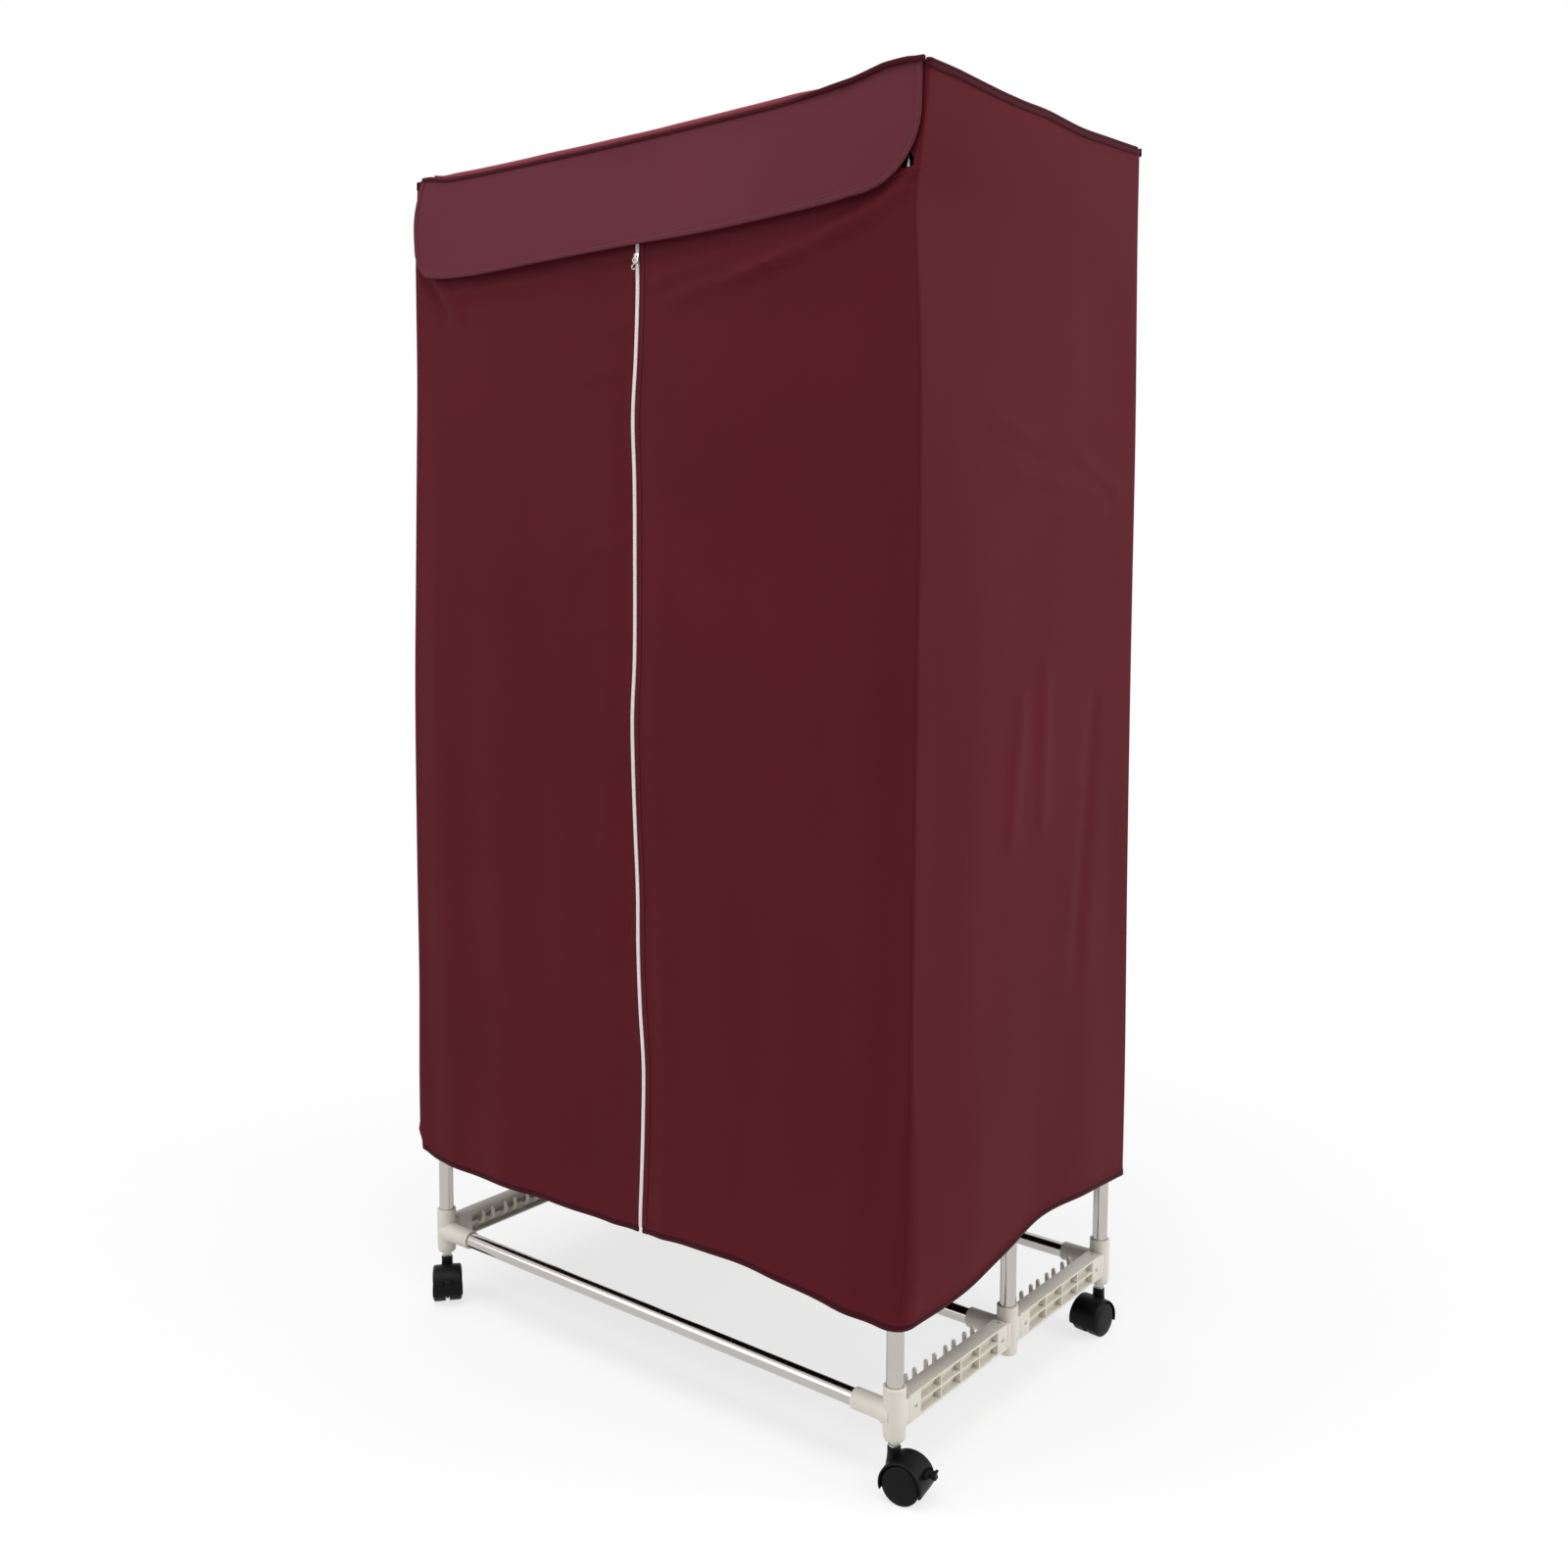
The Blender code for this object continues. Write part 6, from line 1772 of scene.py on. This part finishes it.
knob = JOINTS["timer_turn"]["pos_m"]
wall = reach("heater_housing", 0)[1]
shape = bmesh.new()
place = Matrix.Translation((wall, knob[1], knob[2])) @ Matrix.Rotation(math.pi / 2, 4, "Y")
profile = [(0, 0.4), (17.0, 0.4), (17.0, 1.6), (16.6, 2.6)]
profile += [(15.6, 12.0), (14.8, 13.4), (13.2, 14.0), (0, 14.0)]
turned(shape, [(r * MM, h * MM) for r, h in profile], place, steps=64)
turned(shape, [(0, -5 * MM), (3 * MM, -5 * MM), (3 * MM, 2 * MM), (0, 2 * MM)], place, steps=32)
brick(shape, (-13 * MM, -2.5 * MM, 13 * MM), (13 * MM, 2.5 * MM, 18 * MM), place)
piece = closed("timer_knob_moulding", shape, DARK_PP, bevel=0.5 * MM)
keep(piece, "timer_knob", "dark_plastic", "heater_timer_knob")

gland = middle("heater_cord_gland")
gland.x = reach("heater_housing", 0)[0]
shape = bmesh.new()
place = Matrix.Translation(gland) @ Matrix.Rotation(-math.pi / 2, 4, "Y")
profile = [(4.2, -3.4), (6.0, -3.4), (6.0, 0.3), (13.0, 0.3), (13.0, 2.2), (12.2, 3.0), (9.0, 3.0)]
for k in range(4):
    groove = [(8.9, 4.6), (7.9, 5.2), (7.9, 6.4), (8.4, 7.0)]
    profile += [(r - 0.6 * k, h + 2.9 * k) for r, h in groove]
profile += [(4.2, 16.0)]
turned(shape, [(r * MM, h * MM) for r, h in profile], place, steps=40)
keep(closed("cord_gland_moulding", shape, DARK_PP), "frame", "dark_plastic", "heater_cord_gland")

# %% [markdown]
# The picture is a plain studio shot: a white floor that runs into a white background, broad soft
# light from the front, a stronger one over the right side that gives the side panel its sheen.
# The world is white to the camera and in reflections, and a plain fill for everything else. The
# floor fades to the same white away from the dryer, and keeps its shadow near it.

# %% Floor, light and background
WHITE = (1, 1, 1, 1)
# Half the floor's width, wide enough that its edge is never seen
FLOOR = 40


def seen_directly(tree):
    """1 for what the camera, a reflection or a clear piece shows, 0 for light on a surface."""
    rays = add_node(tree, "ShaderNodeLightPath").outputs
    seen = maths(tree, "MAXIMUM", rays["Is Camera Ray"], rays["Is Glossy Ray"])
    return maths(tree, "MAXIMUM", seen, rays["Is Transmission Ray"])


floor_mesh = bpy.data.meshes.new("floor")
floor_corners = [(-FLOOR, -FLOOR, 0), (FLOOR, -FLOOR, 0), (FLOOR, FLOOR, 0), (-FLOOR, FLOOR, 0)]
floor_mesh.from_pydata(floor_corners, [], [(0, 1, 2, 3)])
floor = placed("floor", floor_mesh)
floor_finish, tree, shader = new_finish("matt white studio floor", Roughness=0.9)
places = object_places(tree)
feed(tree, shader, Base_Color=stops(tree, noisy(tree, places, 2.0, 3.0), "#F1F1F1", "#F6F6F6"))
distance = add_node(tree, "ShaderNodeVectorMath", {0: places}, operation="LENGTH")
# The fade starts under the dryer, 0.45 m from its middle, and is full at 1.9 m
spread = {"Value": distance.outputs["Value"], "From Min": 0.45, "From Max": 1.9, "To Min": 0.73}
far = add_node(tree, "ShaderNodeMapRange", spread)
fade = maths(tree, "MULTIPLY", seen_directly(tree), far.outputs[0])
glow = add_node(tree, "ShaderNodeEmission", {"Color": WHITE, "Strength": 1.0})
sockets = {0: fade, 1: shader.outputs[0], 2: glow.outputs[0]}
mixed = add_node(tree, "ShaderNodeMixShader", sockets)
tree.links.new(mixed.outputs[0], tree.nodes["Material Output"].inputs["Surface"])
floor_mesh.materials.append(floor_finish)

world = bpy.data.worlds.new("studio")
bpy.context.scene.world = world
world.use_nodes = True
tree = world.node_tree
tree.nodes.clear()
fill = add_node(tree, "ShaderNodeBackground", {"Color": WHITE, "Strength": 0.50})
white = add_node(tree, "ShaderNodeBackground", {"Color": WHITE, "Strength": 1.0})
sockets = {0: seen_directly(tree), 1: fill.outputs[0], 2: white.outputs[0]}
shown = add_node(tree, "ShaderNodeMixShader", sockets)
add_node(tree, "ShaderNodeOutputWorld", {"Surface": shown.outputs[0]})


def soft_light(name, place, aim, size, power):
    """A rectangular lamp at a place, aimed at a point. Sizes are in metres, the power in watts."""
    lamp = bpy.data.lights.new(name, "AREA")
    lamp.shape, lamp.size, lamp.size_y = "RECTANGLE", *size
    lamp.energy = power
    piece = placed(name, lamp)
    piece.location = place
    piece.rotation_euler = (Vector(aim) - Vector(place)).to_track_quat("-Z", "Y").to_euler()


soft_light("front_softbox", (-2.6, -4.2, 2.8), (0, 0, 0.8), (3.0, 2.4), 54)
soft_light("right_softbox", (4.2, 1.6, 2.6), (0.3, 0, 0.9), (2.6, 3.0), 110)
soft_light("overhead_softbox", (0.2, -1.2, 4.4), (0, 0, 0.8), (3.4, 2.6), 110)

# %% [markdown]
# The camera stands front right, a little above the middle of the dryer. It was fitted to the
# feet of the posts and the corners of the cover.

# %% Camera
# How it is turned, and where it stands from the middle of the cover
YAW, PITCH, ROLL = (math.radians(a) for a in (38.759, -4.555, 0.226))
STAND = Vector((CENTRE_X + 1.43986, CENTRE_Y - 1.79825, 1.1285))
flat = math.cos(PITCH)
ahead = Vector((-math.sin(YAW) * flat, math.cos(YAW) * flat, math.sin(PITCH)))
level = Vector((math.cos(YAW), math.sin(YAW), 0))
upward = level.cross(ahead)
right = level * math.cos(ROLL) + upward * math.sin(ROLL)
upward = upward * math.cos(ROLL) - level * math.sin(ROLL)
lens = bpy.data.cameras.new("camera")
lens.lens, lens.sensor_width = 35.53, 36.0
lens.shift_x, lens.shift_y = 0.0113, -0.0538
camera = placed("camera", lens)
turn = Matrix((right, upward, -ahead)).transposed().to_4x4()
camera.matrix_world = Matrix.Translation(STAND) @ turn
bpy.context.scene.camera = camera
bpy.context.scene.view_settings.view_transform = "Standard"
